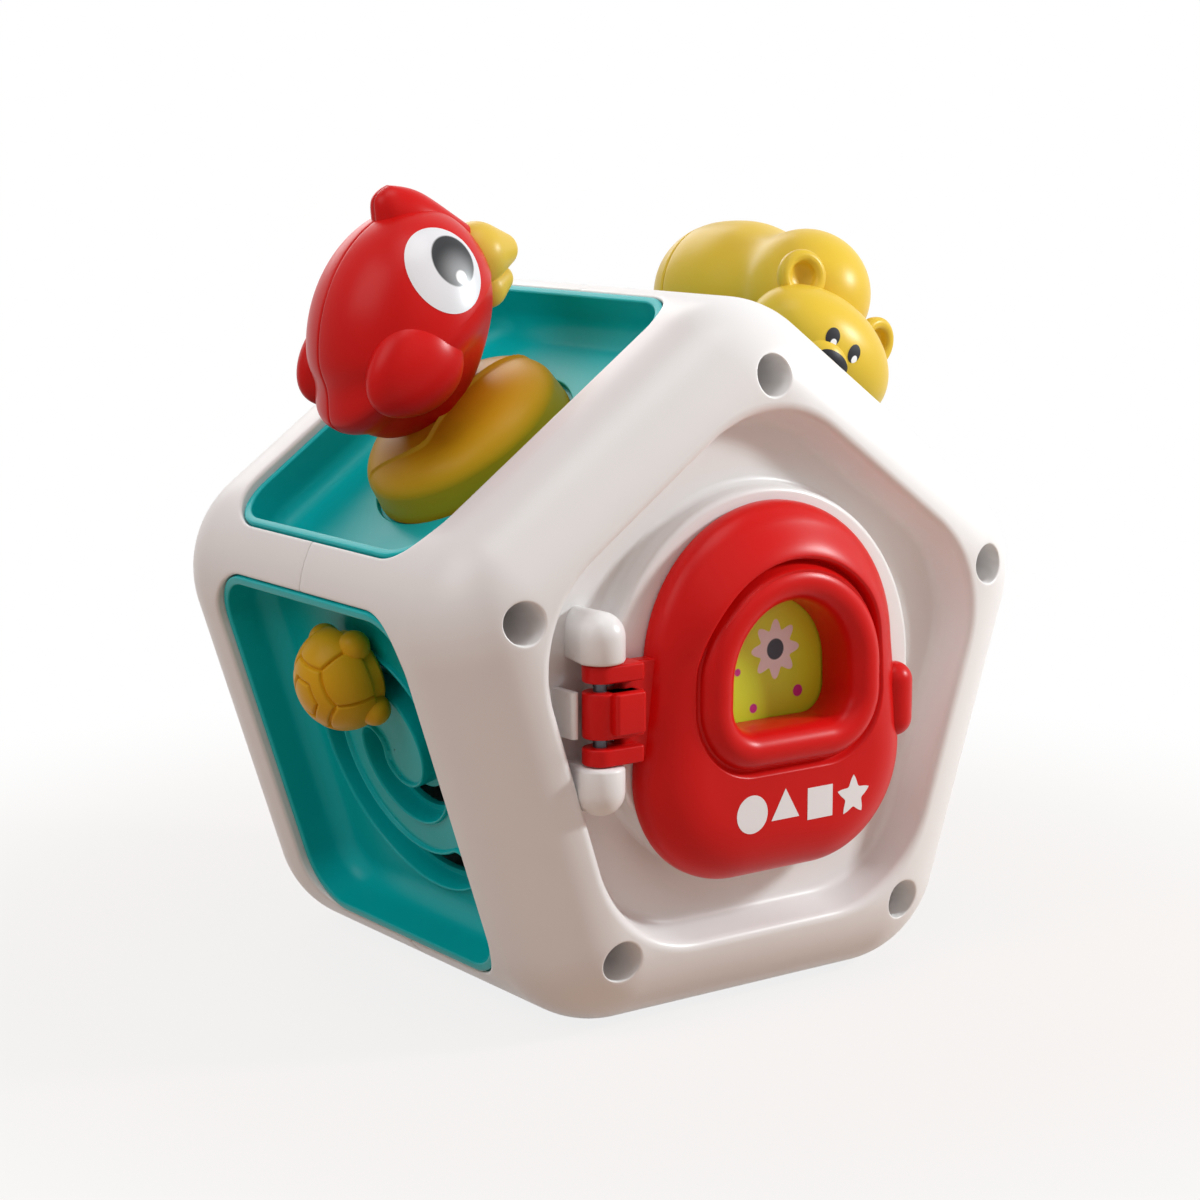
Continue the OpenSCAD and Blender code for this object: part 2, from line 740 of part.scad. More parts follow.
// A strip along the spiral with round ends, of a given half width
module spiral_strip(half_w) {
    steps = ceil(spiral_turn / spiral_step);
    angles = [for (i = [0:steps]) spiral_turn * i / steps];
    polygon(concat([for (a = angles) spiral_point(a, spiral_r(a) + half_w)],
        [for (i = [0:steps]) let (a = angles[steps - i]) spiral_point(a, spiral_r(a) - half_w)]));
    for (a = [0, spiral_turn])
        translate(spiral_point(a, spiral_r(a))) circle(half_w);
}

// Tray with a spiral groove in its floor, a slot along the groove and a post under its centre
module maze_tray() {
    color([0.0, 0.55, 0.57]) on_side(LOWER_LEFT) difference() {
        union() {
            difference() {
                tray_outside(tray_depth);
                tray_inside(tray_depth);
            }
            translate([0, 0, channel_bottom]) linear_extrude(-channel_bottom - tray_depth + groove_lip)
                spiral_strip(groove_w / 2 + groove_lip);
            translate([0, 0, channel_bottom]) linear_extrude(-channel_bottom - tray_depth - tray_wall / 2)
                spiral_strip(groove_w / 2 + groove_wall);
            translate([0, 0, maze_post_end])
                cylinder(d = maze_post_d, h = -tray_depth - tray_wall / 2 - maze_post_end);
        }
        translate([0, 0, -tray_depth - groove_depth]) linear_extrude(groove_depth + 2)
            spiral_strip(groove_w / 2);
        translate([0, 0, channel_bottom - 1]) linear_extrude(groove_wall + 2) spiral_strip(slot_w / 2);
        translate([0, 0, maze_post_end - 1])
            cylinder(d = pivot_screw_d + 2 * run_clear, h = maze_screw_bite + 1 + overlap);
    }
}

// Places children on the spiral at an angle, facing along it
module on_spiral(a) {
    p = spiral_point(a, spiral_r(a));
    on_side(LOWER_LEFT) translate([p[0], p[1], 0]) rotate([0, 0, a + 90]) children();
}

// Domed shell of the turtle, wider than long
module turtle_shell() {
    dome_h = turtle_top - turtle_waist;
    color([0.80, 0.56, 0.10]) on_spiral(turtle_angle) hull()
        for (side = [1, -1])
            translate([side * turtle_wide / 2, 0, turtle_waist]) rotate_extrude($fn = hull_fn)
                polygon(concat([[0, 0]],
                    [for (i = [0:8]) let (t = 90 * i / 8)
                        [turtle_r * cos(t), turtle_rim + (dome_h - turtle_rim) * sin(t)]]));
}

// Belly of the turtle with its head, four feet and the stem through the slot
module turtle_belly() {
    foot_z = turtle_base + turtle_foot_r;
    color([0.80, 0.56, 0.10]) on_spiral(turtle_angle) {
        difference() {
            union() {
                translate([0, 0, turtle_base]) cylinder(r = turtle_r - 1, h = turtle_waist - turtle_base);
                for (x = [1, -1], y = [1, -1])
                    translate([x * (turtle_r - turtle_foot_in), y * (turtle_r - turtle_foot_back), foot_z])
                        sphere(r = turtle_foot_r);
                translate([0, turtle_r + turtle_head_out, foot_z + turtle_head_more])
                    sphere(r = turtle_foot_r + turtle_head_more);
            }
            translate([-2 * turtle_r, -2 * turtle_r, turtle_waist]) cube([4 * turtle_r, 4 * turtle_r, 20]);
        }
        translate([0, 0, maze_arm_bottom - fit_clear - retainer_t]) difference() {
            cylinder(d = stem_d, h = turtle_base - maze_arm_bottom + fit_clear + retainer_t + overlap);
            translate([0, 0, -1]) cylinder(d = stem_d / 2, h = 5);
        }
    }
}

// Washer and peg that keep the turtle's stem in the slot
module turtle_retainer() {
    ring_top = maze_arm_bottom - fit_clear;
    color([0.93, 0.92, 0.90]) on_spiral(turtle_angle) {
        translate([0, 0, ring_top - retainer_t - retainer_disc]) cylinder(r = retainer_r, h = retainer_disc);
        translate([0, 0, ring_top - retainer_t - overlap]) cylinder(d = stem_d / 2 - 2 * run_clear, h = 4);
    }
}

// Arm under the floor that turns about the spiral's centre and keeps the turtle facing along the groove
module maze_arm() {
    slot_in = spiral_r0 - stem_d / 2 - fit_clear;
    slot_out = spiral_r(turtle_stop) + stem_d / 2 + fit_clear;
    reach = slot_out + arm_wall;
    color([0.93, 0.92, 0.90]) on_side(LOWER_LEFT) rotate([0, 0, turtle_angle])
        translate([0, 0, maze_arm_bottom]) linear_extrude(arm_t) difference() {
            union() {
                circle(d = maze_post_d + 4.4);
                translate([-arm_half_w, 0]) square([2 * arm_half_w, reach]);
            }
            circle(d = maze_post_d + 2 * run_clear);
            translate([-slot_w / 2, slot_in]) square([slot_w, slot_out - slot_in]);
        }
}

// Screw that holds the arm on its post
module maze_arm_screw() {
    color([0.72, 0.72, 0.74]) on_side(LOWER_LEFT) {
        translate([0, 0, maze_post_end - maze_screw_head_h])
            cylinder(d = maze_screw_head_d, h = maze_screw_head_h);
        translate([0, 0, maze_post_end - overlap]) cylinder(d = pivot_screw_d, h = maze_screw_bite + overlap);
    }
}

// Plain shallow tray in the base
module base_tray() {
    color([0.0, 0.55, 0.57]) on_side(BASE) difference() {
        tray_outside(base_depth);
        tray_inside(base_depth);
    }
}

// A spindle under a round foot, bored for the pivot screw
module spindle() {
    difference() {
        translate([0, 0, spindle_end]) cylinder(d = spindle_d, h = bun_bottom - spindle_end + overlap);
        pivot_bore();
    }
}

module pivot_bore() {
    translate([0, 0, spindle_end - 1])
        cylinder(d = pivot_screw_d + 2 * run_clear, h = pivot_screw_bite + 1 + overlap);
}

module pivot_washer() {
    color([0.72, 0.72, 0.74]) translate([0, 0, washer_top - washer_t]) difference() {
        cylinder(d = washer_d, h = washer_t);
        translate([0, 0, -1]) cylinder(d = pivot_screw_d + 2 * run_clear, h = washer_t + 2);
    }
}

module pivot_screw() {
    color([0.72, 0.72, 0.74]) {
        translate([0, 0, washer_top - washer_t - pivot_head_h])
            cylinder(d = pivot_head_d, h = pivot_head_h);
        translate([0, 0, washer_top - washer_t - overlap])
            cylinder(d = pivot_screw_d, h = pivot_screw_bite + washer_t);
    }
}

// A turning bun: a low round dome with steep sides, grown by grow
module bun_form(grow) {
    r = bun_r + grow;
    dome_h = bun_top - bun_side + grow;
    rotate_extrude() polygon(concat([[0, bun_bottom], [r, bun_bottom], [r, -tray_depth]],
        [for (i = [0:10]) [(r - bun_shoulder) * cos(9 * i), bun_side + dome_h * sin(9 * i)]]));
}

// A bun with its spindle and the neck that carries a figure
module turning_bun(neck_x, neck_d, neck_top) {
    difference() {
        union() {
            bun_form(0);
            translate([neck_x, 0, 0]) cylinder(d = neck_d, h = neck_top);
            spindle();
        }
        pivot_bore();
    }
}

module bird_bun() {
    color([0.80, 0.56, 0.10]) on_side(UPPER_LEFT) turning_bun(bird_lean, neck_d, neck_top);
}

// The bird's whole body as a revolved egg, drawn in by inset, with its seam turned away from side
module bird_egg(inset, side = 1) {
    translate(bird_mid) rotate([0, -bird_tilt, 0]) rotate([side * 60, 0, 0]) rotate([0, 90, 0])
        rotate_extrude() polygon([for (i = [0:20]) let (t = 180 * i / 20)
            [max(0, (bird_r - inset) * sin(t)), (bird_half_len - inset) * cos(t)]]);
}

// Crest along the middle of the bird's head
module bird_crest() {
    translate(bird_mid) hull() {
        for (c = crest_balls)
            translate([c[0], 0, crest_h - c[1]]) sphere(r = c[2], $fn = small_fn);
    }
}

// Wing on the side of the bird that y points to
module bird_wing(side) {
    translate(bird_mid) hull() {
        for (w = wing_balls)
            translate([w[0], side * w[1], w[2]]) sphere(r = w[3], $fn = small_fn);
    }
}

module bird_half(side) {
    color([0.80, 0.10, 0.09]) on_side(UPPER_LEFT) difference() {
        intersection() {
            union() {
                bird_egg(0, side);
                bird_crest();
                bird_wing(side);
            }
            translate([-60, side > 0 ? 0 : -60, -20]) cube([120, 60, 120]);
        }
        translate([bird_lean, 0, 0])
            cylinder(d = neck_d + 2 * neck_clear, h = neck_top + neck_clear);
        bird_seat();
    }
}

// Clears the bun's dome under the bird
module bird_seat() {
    translate([0, 0, bun_top + fit_clear - 40]) cylinder(r = bun_r, h = 40);
}

module bird_front_half() {
    bird_half(-1);
}

module bird_rear_half() {
    bird_half(1);
}

// A blunt cone between the root of the beak and its tip, lowered by drop, thinner and shorter by less
module beak_form(drop, less, grow) {
    translate(bird_mid) hull() {
        translate(beak_root - [0, 0, drop]) sphere(r = beak_root_r - less + grow, $fn = small_fn);
        translate([beak_reach - beak_tip_r - (drop > 0 ? lower_beak_short : 0), 0, -beak_tip_drop - drop])
            sphere(r = beak_tip_r + grow, $fn = small_fn);
    }
}

module bird_upper_beak() {
    color([0.88, 0.68, 0.16]) on_side(UPPER_LEFT) difference() {
        beak_form(0, 0, 0);
        bird_egg(-skin_gap);
    }
}

module bird_lower_beak() {
    color([0.88, 0.68, 0.16]) on_side(UPPER_LEFT) difference() {
        beak_form(lower_beak_drop, lower_beak_less, 0);
        bird_egg(-skin_gap);
        beak_form(0, 0, 2 * skin_gap);
    }
}

module bird_washer() {
    on_side(UPPER_LEFT) pivot_washer();
}

module bird_screw() {
    on_side(UPPER_LEFT) pivot_screw();
}

// Bun that the bear turns on, hollowed on top for the bear's belly
module bear_bun() {
    color([0.88, 0.74, 0.24]) on_side(UPPER_RIGHT) difference() {
        turning_bun(0, bear_neck_d, bear_neck_top);
        bear_lobes(skin_gap);
    }
}

// The two lobes of the bear's body, revolved about the line through their middles
module bear_lobes(grow) {
    axis = bear_rear_mid - bear_front_mid;
    length = norm(axis);
    translate(bear_front_mid) rotate([-90 + atan2(axis[2], axis[1]), 0, 0]) rotate([0, 0, 20])
        rotate_extrude() intersection() {
            union() {
                circle(bear_front_r + grow);
                translate([0, length]) circle(bear_rear_r + grow);
            }
            translate([0, -2 * bear_front_r]) square([2 * bear_rear_r, 4 * bear_rear_r + length]);
        }
}

module bear_body() {
    color([0.88, 0.74, 0.24]) on_side(UPPER_RIGHT) difference() {
        bear_lobes(0);
        bear_behind_seam();
    }
}

module bear_rear_cap() {
    color([0.88, 0.74, 0.24]) on_side(UPPER_RIGHT) intersection() {
        bear_lobes(0);
        bear_behind_seam();
    }
}

// Everything behind the seam of the bear's rear cap
module bear_behind_seam() {
    translate([-50, bear_cap_y, -20]) cube([100, 60, 100]);
}

// Wide head with two cupped ears and a blunt muzzle, set on the front lobe
module bear_head() {
    color([0.88, 0.74, 0.24]) on_side(UPPER_RIGHT) difference() {
        translate(bear_head_mid) {
            rotate([20, 0, 0]) rotate([0, 90, 0]) rotate_extrude()
                polygon([for (i = [0:20]) let (t = 180 * i / 20)
                    [max(0, bear_head_r * sin(t)), bear_head_half_w * cos(t)]]);
            for (side = [1, -1])
                translate([side * ear_x, ear_back, ear_up]) rotate([90, 0, 0]) difference() {
                    cylinder(r = ear_r, h = ear_t, center = true);
                    translate([0, 0, ear_t / 2 - ear_hollow]) cylinder(r = ear_r - ear_rim, h = ear_t);
                }
            translate([0, muzzle_r - muzzle_out - bear_head_r, -muzzle_drop]) sphere(r = muzzle_r);
        }
        bear_lobes(skin_gap);
        bun_form(fit_clear);
        cylinder(d = bear_neck_d + 2 * fit_clear, h = bear_neck_top);
    }
}

module bear_washer() {
    on_side(UPPER_RIGHT) pivot_washer();
}

module bear_screw() {
    on_side(UPPER_RIGHT) pivot_screw();
}

// Tray with three posts for the gears
module gear_tray() {
    color([0.0, 0.55, 0.57]) on_side(LOWER_RIGHT) {
        difference() {
            union() {
                difference() {
                    tray_outside(tray_depth);
                    tray_inside(tray_depth);
                }
                for (p = gear_places)
                    translate([p[0], p[1], -tray_depth - tray_wall / 2])
                        cylinder(d = gear_post_d, h = gear_post_top + tray_depth + tray_wall / 2);
            }
            for (p = gear_places)
                translate([p[0], p[1], gear_post_top - gear_peg_h - overlap])
                    cylinder(d = gear_peg_d + 2 * run_clear, h = gear_peg_h + 1);
        }
    }
}

// Angle between the radius to a point on the involute and the start of the involute, in degrees
function involute_turn(r) =
    r <= gear_base_r ? 0 : let (c = acos(gear_base_r / r)) tan(c) * 180 / PI - c;

// Half the angle that a tooth takes up at a radius
function tooth_half_angle(r) =
    90 / gear_teeth - gear_backlash / 2 / gear_r * 180 / PI + involute_turn(gear_r) - involute_turn(r);

// Outline of a gear with a tooth along the angle phase
module gear_outline(phase) {
    flank = [for (i = [0:5]) let (r = gear_base_r + (gear_tip_r - gear_base_r) * i / 5) r];
    radii = concat([gear_root_r], flank);
    last = len(radii) - 1;
    polygon([for (k = [0:gear_teeth - 1]) let (mid = phase + 360 * k / gear_teeth)
        each concat([for (r = radii) r * [cos(mid - tooth_half_angle(r)), sin(mid - tooth_half_angle(r))]],
            [for (i = [0:last]) let (r = radii[last - i])
                r * [cos(mid + tooth_half_angle(r)), sin(mid + tooth_half_angle(r))]])]);
}

// Phase that puts a gear in mesh with another, whose phase is given, in the direction from it
function meshed_phase(from, to, phase) =
    let (d = atan2(to[1] - from[1], to[0] - from[0])) 2 * d + 180 - phase - 180 / gear_teeth;
gear_phase_b = meshed_phase(gear_places[0], gear_places[1], 0);
gear_phase_c = meshed_phase(gear_places[1], gear_places[2], gear_phase_b);

// A gear on its post: toothed disc with a hub, a bore and a shallow ring-shaped hollow
module gear(place, phase) {
    on_side(LOWER_RIGHT) translate([place[0], place[1], gear_bottom]) difference() {
        union() {
            linear_extrude(gear_t) gear_outline(phase);
            cylinder(d = gear_cap_d, h = gear_t + gear_hub_h);
        }
        translate([0, 0, -1]) cylinder(d = gear_post_d + 2 * run_clear, h = gear_t + 3);
        translate([0, 0, gear_t - gear_hollow]) difference() {
            cylinder(r = gear_root_r - gear_rim, h = gear_hollow + 1);
            translate([0, 0, -1]) cylinder(d = gear_cap_d, h = 5);
        }
    }
}

module gear_a() {
    color([0.80, 0.10, 0.09]) gear(gear_places[0], 0);
}

module gear_b() {
    color([0.88, 0.74, 0.24]) gear(gear_places[1], gear_phase_b);
}

module gear_c() {
    color([0.93, 0.92, 0.90]) gear(gear_places[2], gear_phase_c);
}

// Caps pressed into the posts, which keep the gears on
module gear_caps() {
    color([0.80, 0.56, 0.10]) on_side(LOWER_RIGHT)
        for (p = gear_places)
            translate([p[0], p[1], gear_post_top]) {
                cylinder(d = gear_cap_d, h = gear_cap_t);
                translate([0, 0, -gear_peg_h]) cylinder(d = gear_peg_d, h = gear_peg_h + overlap);
            }
}

front_shell();
rear_shell();
case_screws();
bird_tray();
bear_tray();
maze_tray();
gear_tray();
base_tray();
door();
hinge_pin();
picture_card();
mirror_disc();  // mirror
mirror_ring();
bird_bun();
bird_front_half();
bird_rear_half();
bird_upper_beak();
bird_lower_beak();
bird_washer();
bird_screw();
bear_bun();
bear_body();
bear_rear_cap();
bear_head();
bear_washer();
bear_screw();
turtle_shell();
turtle_belly();
turtle_retainer();
maze_arm();
maze_arm_screw();
gear_a();
gear_b();
gear_c();
gear_caps();
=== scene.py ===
"""A five-sided activity drum for a baby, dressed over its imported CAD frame.

Points are worked out in millimetres from the middle plane of the case, and become metres of the shared frame
when a mesh is made. The shared frame's origin lies under the middle of the whole toy, the door included.
"""

import bmesh
import bpy
import numpy as np
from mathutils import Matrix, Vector


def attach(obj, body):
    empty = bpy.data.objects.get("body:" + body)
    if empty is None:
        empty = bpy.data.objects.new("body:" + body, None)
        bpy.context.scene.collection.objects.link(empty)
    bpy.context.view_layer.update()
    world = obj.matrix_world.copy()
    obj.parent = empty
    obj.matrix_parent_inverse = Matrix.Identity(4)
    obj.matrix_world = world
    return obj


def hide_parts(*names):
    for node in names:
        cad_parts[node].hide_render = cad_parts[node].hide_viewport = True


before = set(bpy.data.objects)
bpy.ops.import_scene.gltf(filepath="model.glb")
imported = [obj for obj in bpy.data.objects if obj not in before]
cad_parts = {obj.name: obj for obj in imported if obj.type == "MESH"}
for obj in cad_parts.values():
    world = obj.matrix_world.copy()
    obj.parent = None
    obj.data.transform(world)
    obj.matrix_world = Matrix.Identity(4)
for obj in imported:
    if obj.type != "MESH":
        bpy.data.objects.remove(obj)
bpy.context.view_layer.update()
scene = bpy.context.scene
scene.view_settings.view_transform = "Standard"

# Studio camera
# A camera on a level tripod in front of the toy, to the left of the door and a little above it.
# The lens is long, so the toy's edges hardly run together.
MM = 0.001
IMAGE_PX = 1200
FOCAL_PX = 2653
SENSOR_MM = 36.0
CAMERA_AZIMUTH = np.radians(-35.85)
CAMERA_ELEVATION = np.radians(10.12)
CAMERA_DISTANCE = 625.0
MIDDLE_Y = 4.2
LOOK_AT = np.array([0.26, MIDDLE_Y, 82.4])


def direction(azimuth, elevation):
    """Unit vector towards a compass angle from the front (-Y) and a height angle, both in radians."""
    level = np.cos(elevation)
    return np.array([np.sin(azimuth) * level, -np.cos(azimuth) * level, np.sin(elevation)])


def aim(thing, place, target):
    """Puts an object at a place in mm, with its own -Z pointing at the target."""
    thing.location = Vector(place * MM)
    thing.rotation_euler = Vector(place - target).to_track_quat("Z", "Y").to_euler()
    scene.collection.objects.link(thing)


lens = bpy.data.cameras.new("camera")
lens.sensor_width = SENSOR_MM
lens.lens = FOCAL_PX / IMAGE_PX * SENSOR_MM
camera = bpy.data.objects.new("camera", lens)
aim(camera, LOOK_AT + CAMERA_DISTANCE * direction(CAMERA_AZIMUTH, CAMERA_ELEVATION), LOOK_AT)
scene.camera = camera

# Studio floor and light
# A pale warm paper floor that runs out to white, a lamp low on the right, whose light grazes the front
# of the toy and gives its recess a clear shadow, weak soft lamps on the other sides, and a warm room.
FLOOR_HALF = 1500.0
FLOOR_NEAR = 120.0
FLOOR_FAR = 300.0
FLOOR_WHITE = 0.84
FLOOR_TINTS = (0.48, 0.34, 0.26), (0.52, 0.38, 0.30)
ROOM_STRENGTH = 0.28
ROOM_TINT = (1.0, 0.75, 0.68)
FIBRE_SCALE = 900.0
LAMPS = [
    # name, azimuth, elevation, distance, size, watts, tint
    ("key_lamp", 54.5, 24.3, 700, 100, 3.7, (0.91, 0.98, 1.0)),
    ("fill_lamp", -84, 40, 800, 450, 1.7, (0.95, 0.99, 1.0)),
    ("top_lamp", -30, 74, 700, 320, 1.1, (0.96, 0.99, 1.0)),
    ("front_lamp", -5, 35, 800, 500, 0.4, (0.97, 0.99, 1.0)),
    ("back_lamp", 170, 35, 800, 500, 1.8, (1.0, 1.0, 1.0))]
# A Mix node's sockets for colours
MIX_LOW, MIX_HIGH, MIX_RESULT = 6, 7, 2


class Shade:
    """A socket in a node tree. Operators on it add Math nodes, and node() adds any other node."""

    def __init__(self, tree, socket=None):
        self.tree = tree
        self.socket = socket

    def node(self, kind, settings=None, sockets=None, out=0):
        """Adds a node of a kind, sets its settings first, then the values or links of its sockets."""
        made = self.tree.nodes.new("ShaderNode" + kind)
        for name, value in (settings or {}).items():
            if name == "stops":
                ramp = made.color_ramp.elements
                while len(ramp) < len(value):
                    ramp.new(1.0)
                for stop, (place, colour) in zip(ramp, value):
                    stop.position, stop.color = place, (*colour, 1.0)
            else:
                setattr(made, name, value)
        for name, value in (sockets or {}).items():
            if isinstance(value, Shade):
                self.tree.links.new(value.socket, made.inputs[name])
            elif value is not None:
                made.inputs[name].default_value = value
        return Shade(self.tree, made.outputs[out] if len(made.outputs) else None)

    def math(self, operation, first, second=None):
        return self.node("Math", {"operation": operation}, {0: first, 1: second})

    def __add__(self, other):
        return self.math("ADD", self, other)

    def __sub__(self, other):
        return self.math("SUBTRACT", self, other)

    def __rsub__(self, other):
        return self.math("SUBTRACT", other, self)

    def __mul__(self, other):
        return self.math("MULTIPLY", self, other)

    def __pow__(self, other):
        return self.math("POWER", self, other)

    __radd__ = __add__
    __rmul__ = __mul__

    def step(self, low, high):
        """Rises smoothly from 0 to 1 between low and high, or falls where high is the lower one."""
        up = low < high
        sockets = {"Value": self, "From Min": min(low, high), "From Max": max(low, high)}
        sockets.update({"To Min": 0.0 if up else 1.0, "To Max": 1.0 if up else 0.0})
        return self.node("MapRange", {"interpolation_type": "SMOOTHSTEP"}, sockets)

    def mix(self, low, high):
        """Goes from one colour to another as this value goes from 0 to 1."""
        sockets = {"Factor": self}
        for socket, colour in ((MIX_LOW, low), (MIX_HIGH, high)):
            sockets[socket] = colour if isinstance(colour, Shade) else (*colour, 1.0)
        return self.node("Mix", {"data_type": "RGBA"}, sockets, out=MIX_RESULT)


def material(name):
    """A new material with an empty tree, and the tree's first Shade."""
    made = bpy.data.materials.new(name)
    made.use_nodes = True
    made.node_tree.nodes.clear()
    return made, Shade(made.node_tree)


def watched(tree):
    """1 for a ray that the camera, a reflection or clear plastic sends out, 0 for one that only carries
    light."""
    kinds = ("Camera", "Glossy", "Transmission")
    camera_ray, glossy_ray, clear_ray = (tree.node("LightPath", out="Is %s Ray" % kind) for kind in kinds)
    return tree.math("MINIMUM", camera_ray + glossy_ray + clear_ray, 1.0)


for name, azimuth, elevation, distance, size, watts, tint in LAMPS:
    light = bpy.data.lights.new(name, "AREA")
    light.energy, light.size, light.color = watts, size * MM, tint
    stand = LOOK_AT + distance * direction(*np.radians([azimuth, elevation]))
    aim(bpy.data.objects.new(name, light), stand, LOOK_AT)

world = bpy.data.worlds.new("white_room")
world.use_nodes = True
world.node_tree.nodes.clear()
scene.world = world
room = Shade(world.node_tree)
shown = watched(room)
strength = ROOM_STRENGTH + (1 - ROOM_STRENGTH) * shown
glow = room.node("Background", None, {"Color": shown.mix(ROOM_TINT, (1, 1, 1)), "Strength": strength})
room.node("OutputWorld", None, {"Surface": glow})

paper, tree = material("floor_paper")
place = tree.node("TexCoord", out="Object")
away = tree.node("VectorMath", {"operation": "LENGTH"}, {0: place}, out="Value")
fibre = tree.node("TexNoise", None, {"Vector": place, "Scale": FIBRE_SCALE, "Detail": 3.0})
lit = tree.node("BsdfDiffuse", None, {"Color": fibre.mix(*FLOOR_TINTS)})
white = tree.node("Emission", None, {"Color": (1, 1, 1, 1), "Strength": 1.0})
paleness = FLOOR_WHITE + (1 - FLOOR_WHITE) * away.step(FLOOR_NEAR * MM, FLOOR_FAR * MM)
sheet = tree.node("MixShader", None, {0: watched(tree) * paleness, 1: lit, 2: white})
tree.node("OutputMaterial", None, {"Surface": sheet})
floor_mesh = bpy.data.meshes.new("floor")
half = FLOOR_HALF * MM
floor_mesh.from_pydata([(-half, -half, 0), (half, -half, 0), (half, half, 0), (-half, half, 0)], [],
                       [(0, 1, 2, 3)])
floor_mesh.materials.append(paper)
floor = bpy.data.objects.new("floor", floor_mesh)
scene.collection.objects.link(floor)

# Case halves
# Two glossy white mouldings that meet at a seam round the middle: a rounded pentagonal prism with a
# window in each side, a sloping recess in the front and the back, and five screw wells in the front.
APOTHEM = 72.5
HALF_DEPTH = 64.5
LONG_EDGE_R = 26.0
FACE_EDGE_R = 20.0
AXIS_Z = APOTHEM
HALF_SHARE = np.radians(36)
SIDE_HALF = APOTHEM * np.tan(HALF_SHARE)
FLAT_HALF = (APOTHEM - LONG_EDGE_R) * np.tan(HALF_SHARE)
UPPER_RIGHT, UPPER_LEFT, LOWER_LEFT, BASE, LOWER_RIGHT = np.radians([54, 126, 198, 270, 342])
SIDES = [UPPER_RIGHT, LOWER_RIGHT, BASE, LOWER_LEFT, UPPER_LEFT]
WINDOW_HALF_LEN = 43.8
WINDOW_HALF_W = 40.5
WINDOW_R = 13.0
WINDOW_ROUND = 0.9
WINDOW_WALL = 7.0
SEAM_HALF = 0.10
SEAM_ROUND = 0.4
# The seam's edge: the way to the seam as a share of its rounding, and the depth
SEAM_EDGE = [(0.6, 0.08), (1.0, 0.36), (1.0, 2.5)]
WELL_INSET = 22.0
WELL_CIRCLE_R = APOTHEM / np.cos(HALF_SHARE) - WELL_INSET
WELL_R = 4.5
WELL_ROUND = 0.45
WELL_DEPTH = 18.0
RECESS_MOUTH = 54.0
RECESS_R = 28.0
RECESS_SLOPE = 2.4
RECESS_DEPTH = 9.0
RECESS_MOUTH_ROUND = 2.6
RECESS_FLOOR_ROUND = 2.4
BLOCK_ANGLE = np.radians(24)
# Steps of the case's grids
HALF_CORNER, MIDDLE, SEAM_RUN, BEND_STEPS = 20, 44, 20, 6
SIDE_ROWS, RIM_ROWS, WELL_ROWS = 18, 10, 14


def on_side(angle, p):
    """Stands points on a side of the case: X along its edge, Y along the axis, Z out of it, 0 on its
    plane."""
    x, y, z = p[..., 0], p[..., 1], p[..., 2] + APOTHEM
    c, s = np.cos(angle), np.sin(angle)
    return np.stack([x * s + z * c, y, AXIS_Z - x * c + z * s], -1)


def on_front(p):
    """Stands points on the front: X across, Y up from the axis, Z out of the case, 0 on the front plane."""
    return np.stack([p[..., 0], -HALF_DEPTH - p[..., 2], AXIS_Z + p[..., 1]], -1)


def joined(*runs):
    """Runs of values end to end, with each shared end kept once."""
    return np.concatenate([runs[0]] + [run[1:] for run in runs[1:]])


def spread(*columns):
    """Columns of numbers, or single numbers, stacked as points."""
    return np.stack(np.broadcast_arrays(*columns), -1)


def ray(angle):
    """Unit vectors of a plane at angles from its first axis towards its second."""
    return spread(np.cos(angle), np.sin(angle))


def raised(plan, height):
    """Points of a plan, each at its height."""
    return np.concatenate([plan, np.broadcast_to(height, plan.shape[:-1])[..., None]], -1)


def in_case(across, y):
    """Points of the cross-section, measured from the case's axis, at places along the axis."""
    return spread(across[..., 0], y, across[..., 1] + AXIS_Z)


def core_point(across):
    """Nearest point, in the cross-section, of the core: a small pentagon with rounded corners. It is the
    nearest point of a sharp pentagon, moved out towards the point by the core's own rounding."""
    apothem = APOTHEM - LONG_EDGE_R
    inside = np.ones(across.shape[:-1], bool)
    best, least = across.copy(), np.full(across.shape[:-1], np.inf)
    for angle in SIDES:
        normal = ray(angle)
        along = normal[::-1] * [-1, 1]
        inside &= across @ normal <= apothem
        foot = apothem * normal + np.clip(across @ along, -FLAT_HALF, FLAT_HALF)[..., None] * along
        far = np.linalg.norm(across - foot, axis=-1)
        best = np.where((far < least)[..., None], foot, best)
        least = np.minimum(far, least)
    best = np.where(inside[..., None], across, best)
    gap = across - best
    reach = np.maximum(np.linalg.norm(gap, axis=-1, keepdims=True), 1e-9)
    return best + gap * np.minimum(1, (LONG_EDGE_R - FACE_EDGE_R) / reach)


def case_skin(p):
    """Points of the sharp prism moved to the rounded case. Each goes to where the line to it from the
    core's nearest point leaves the core's offset by the face rounding. Returns points and normals."""
    core = core_point(p[..., [0, 2]] - [0, AXIS_Z])
    deep = HALF_DEPTH - FACE_EDGE_R
    foot = in_case(core, np.clip(p[..., 1], -deep, deep))
    normal = p - foot
    normal = normal / np.linalg.norm(normal, axis=-1, keepdims=True)
    return foot + FACE_EDGE_R * normal, normal


def front_bulge(across):
    """How far out of the middle plane the front of the case lies over a point of the cross-section."""
    off = np.linalg.norm(across - core_point(across), axis=-1)
    return HALF_DEPTH - FACE_EDGE_R + np.sqrt(FACE_EDGE_R ** 2 - off ** 2)


def sharp_front(across):
    """The point of the sharp front plane that case_skin moves to lie over a point of the cross-section."""
    core = core_point(across)
    off = np.linalg.norm(across - core, axis=-1, keepdims=True)
    return in_case(core + (across - core) / np.sqrt(1 - (off / FACE_EDGE_R) ** 2), -HALF_DEPTH)


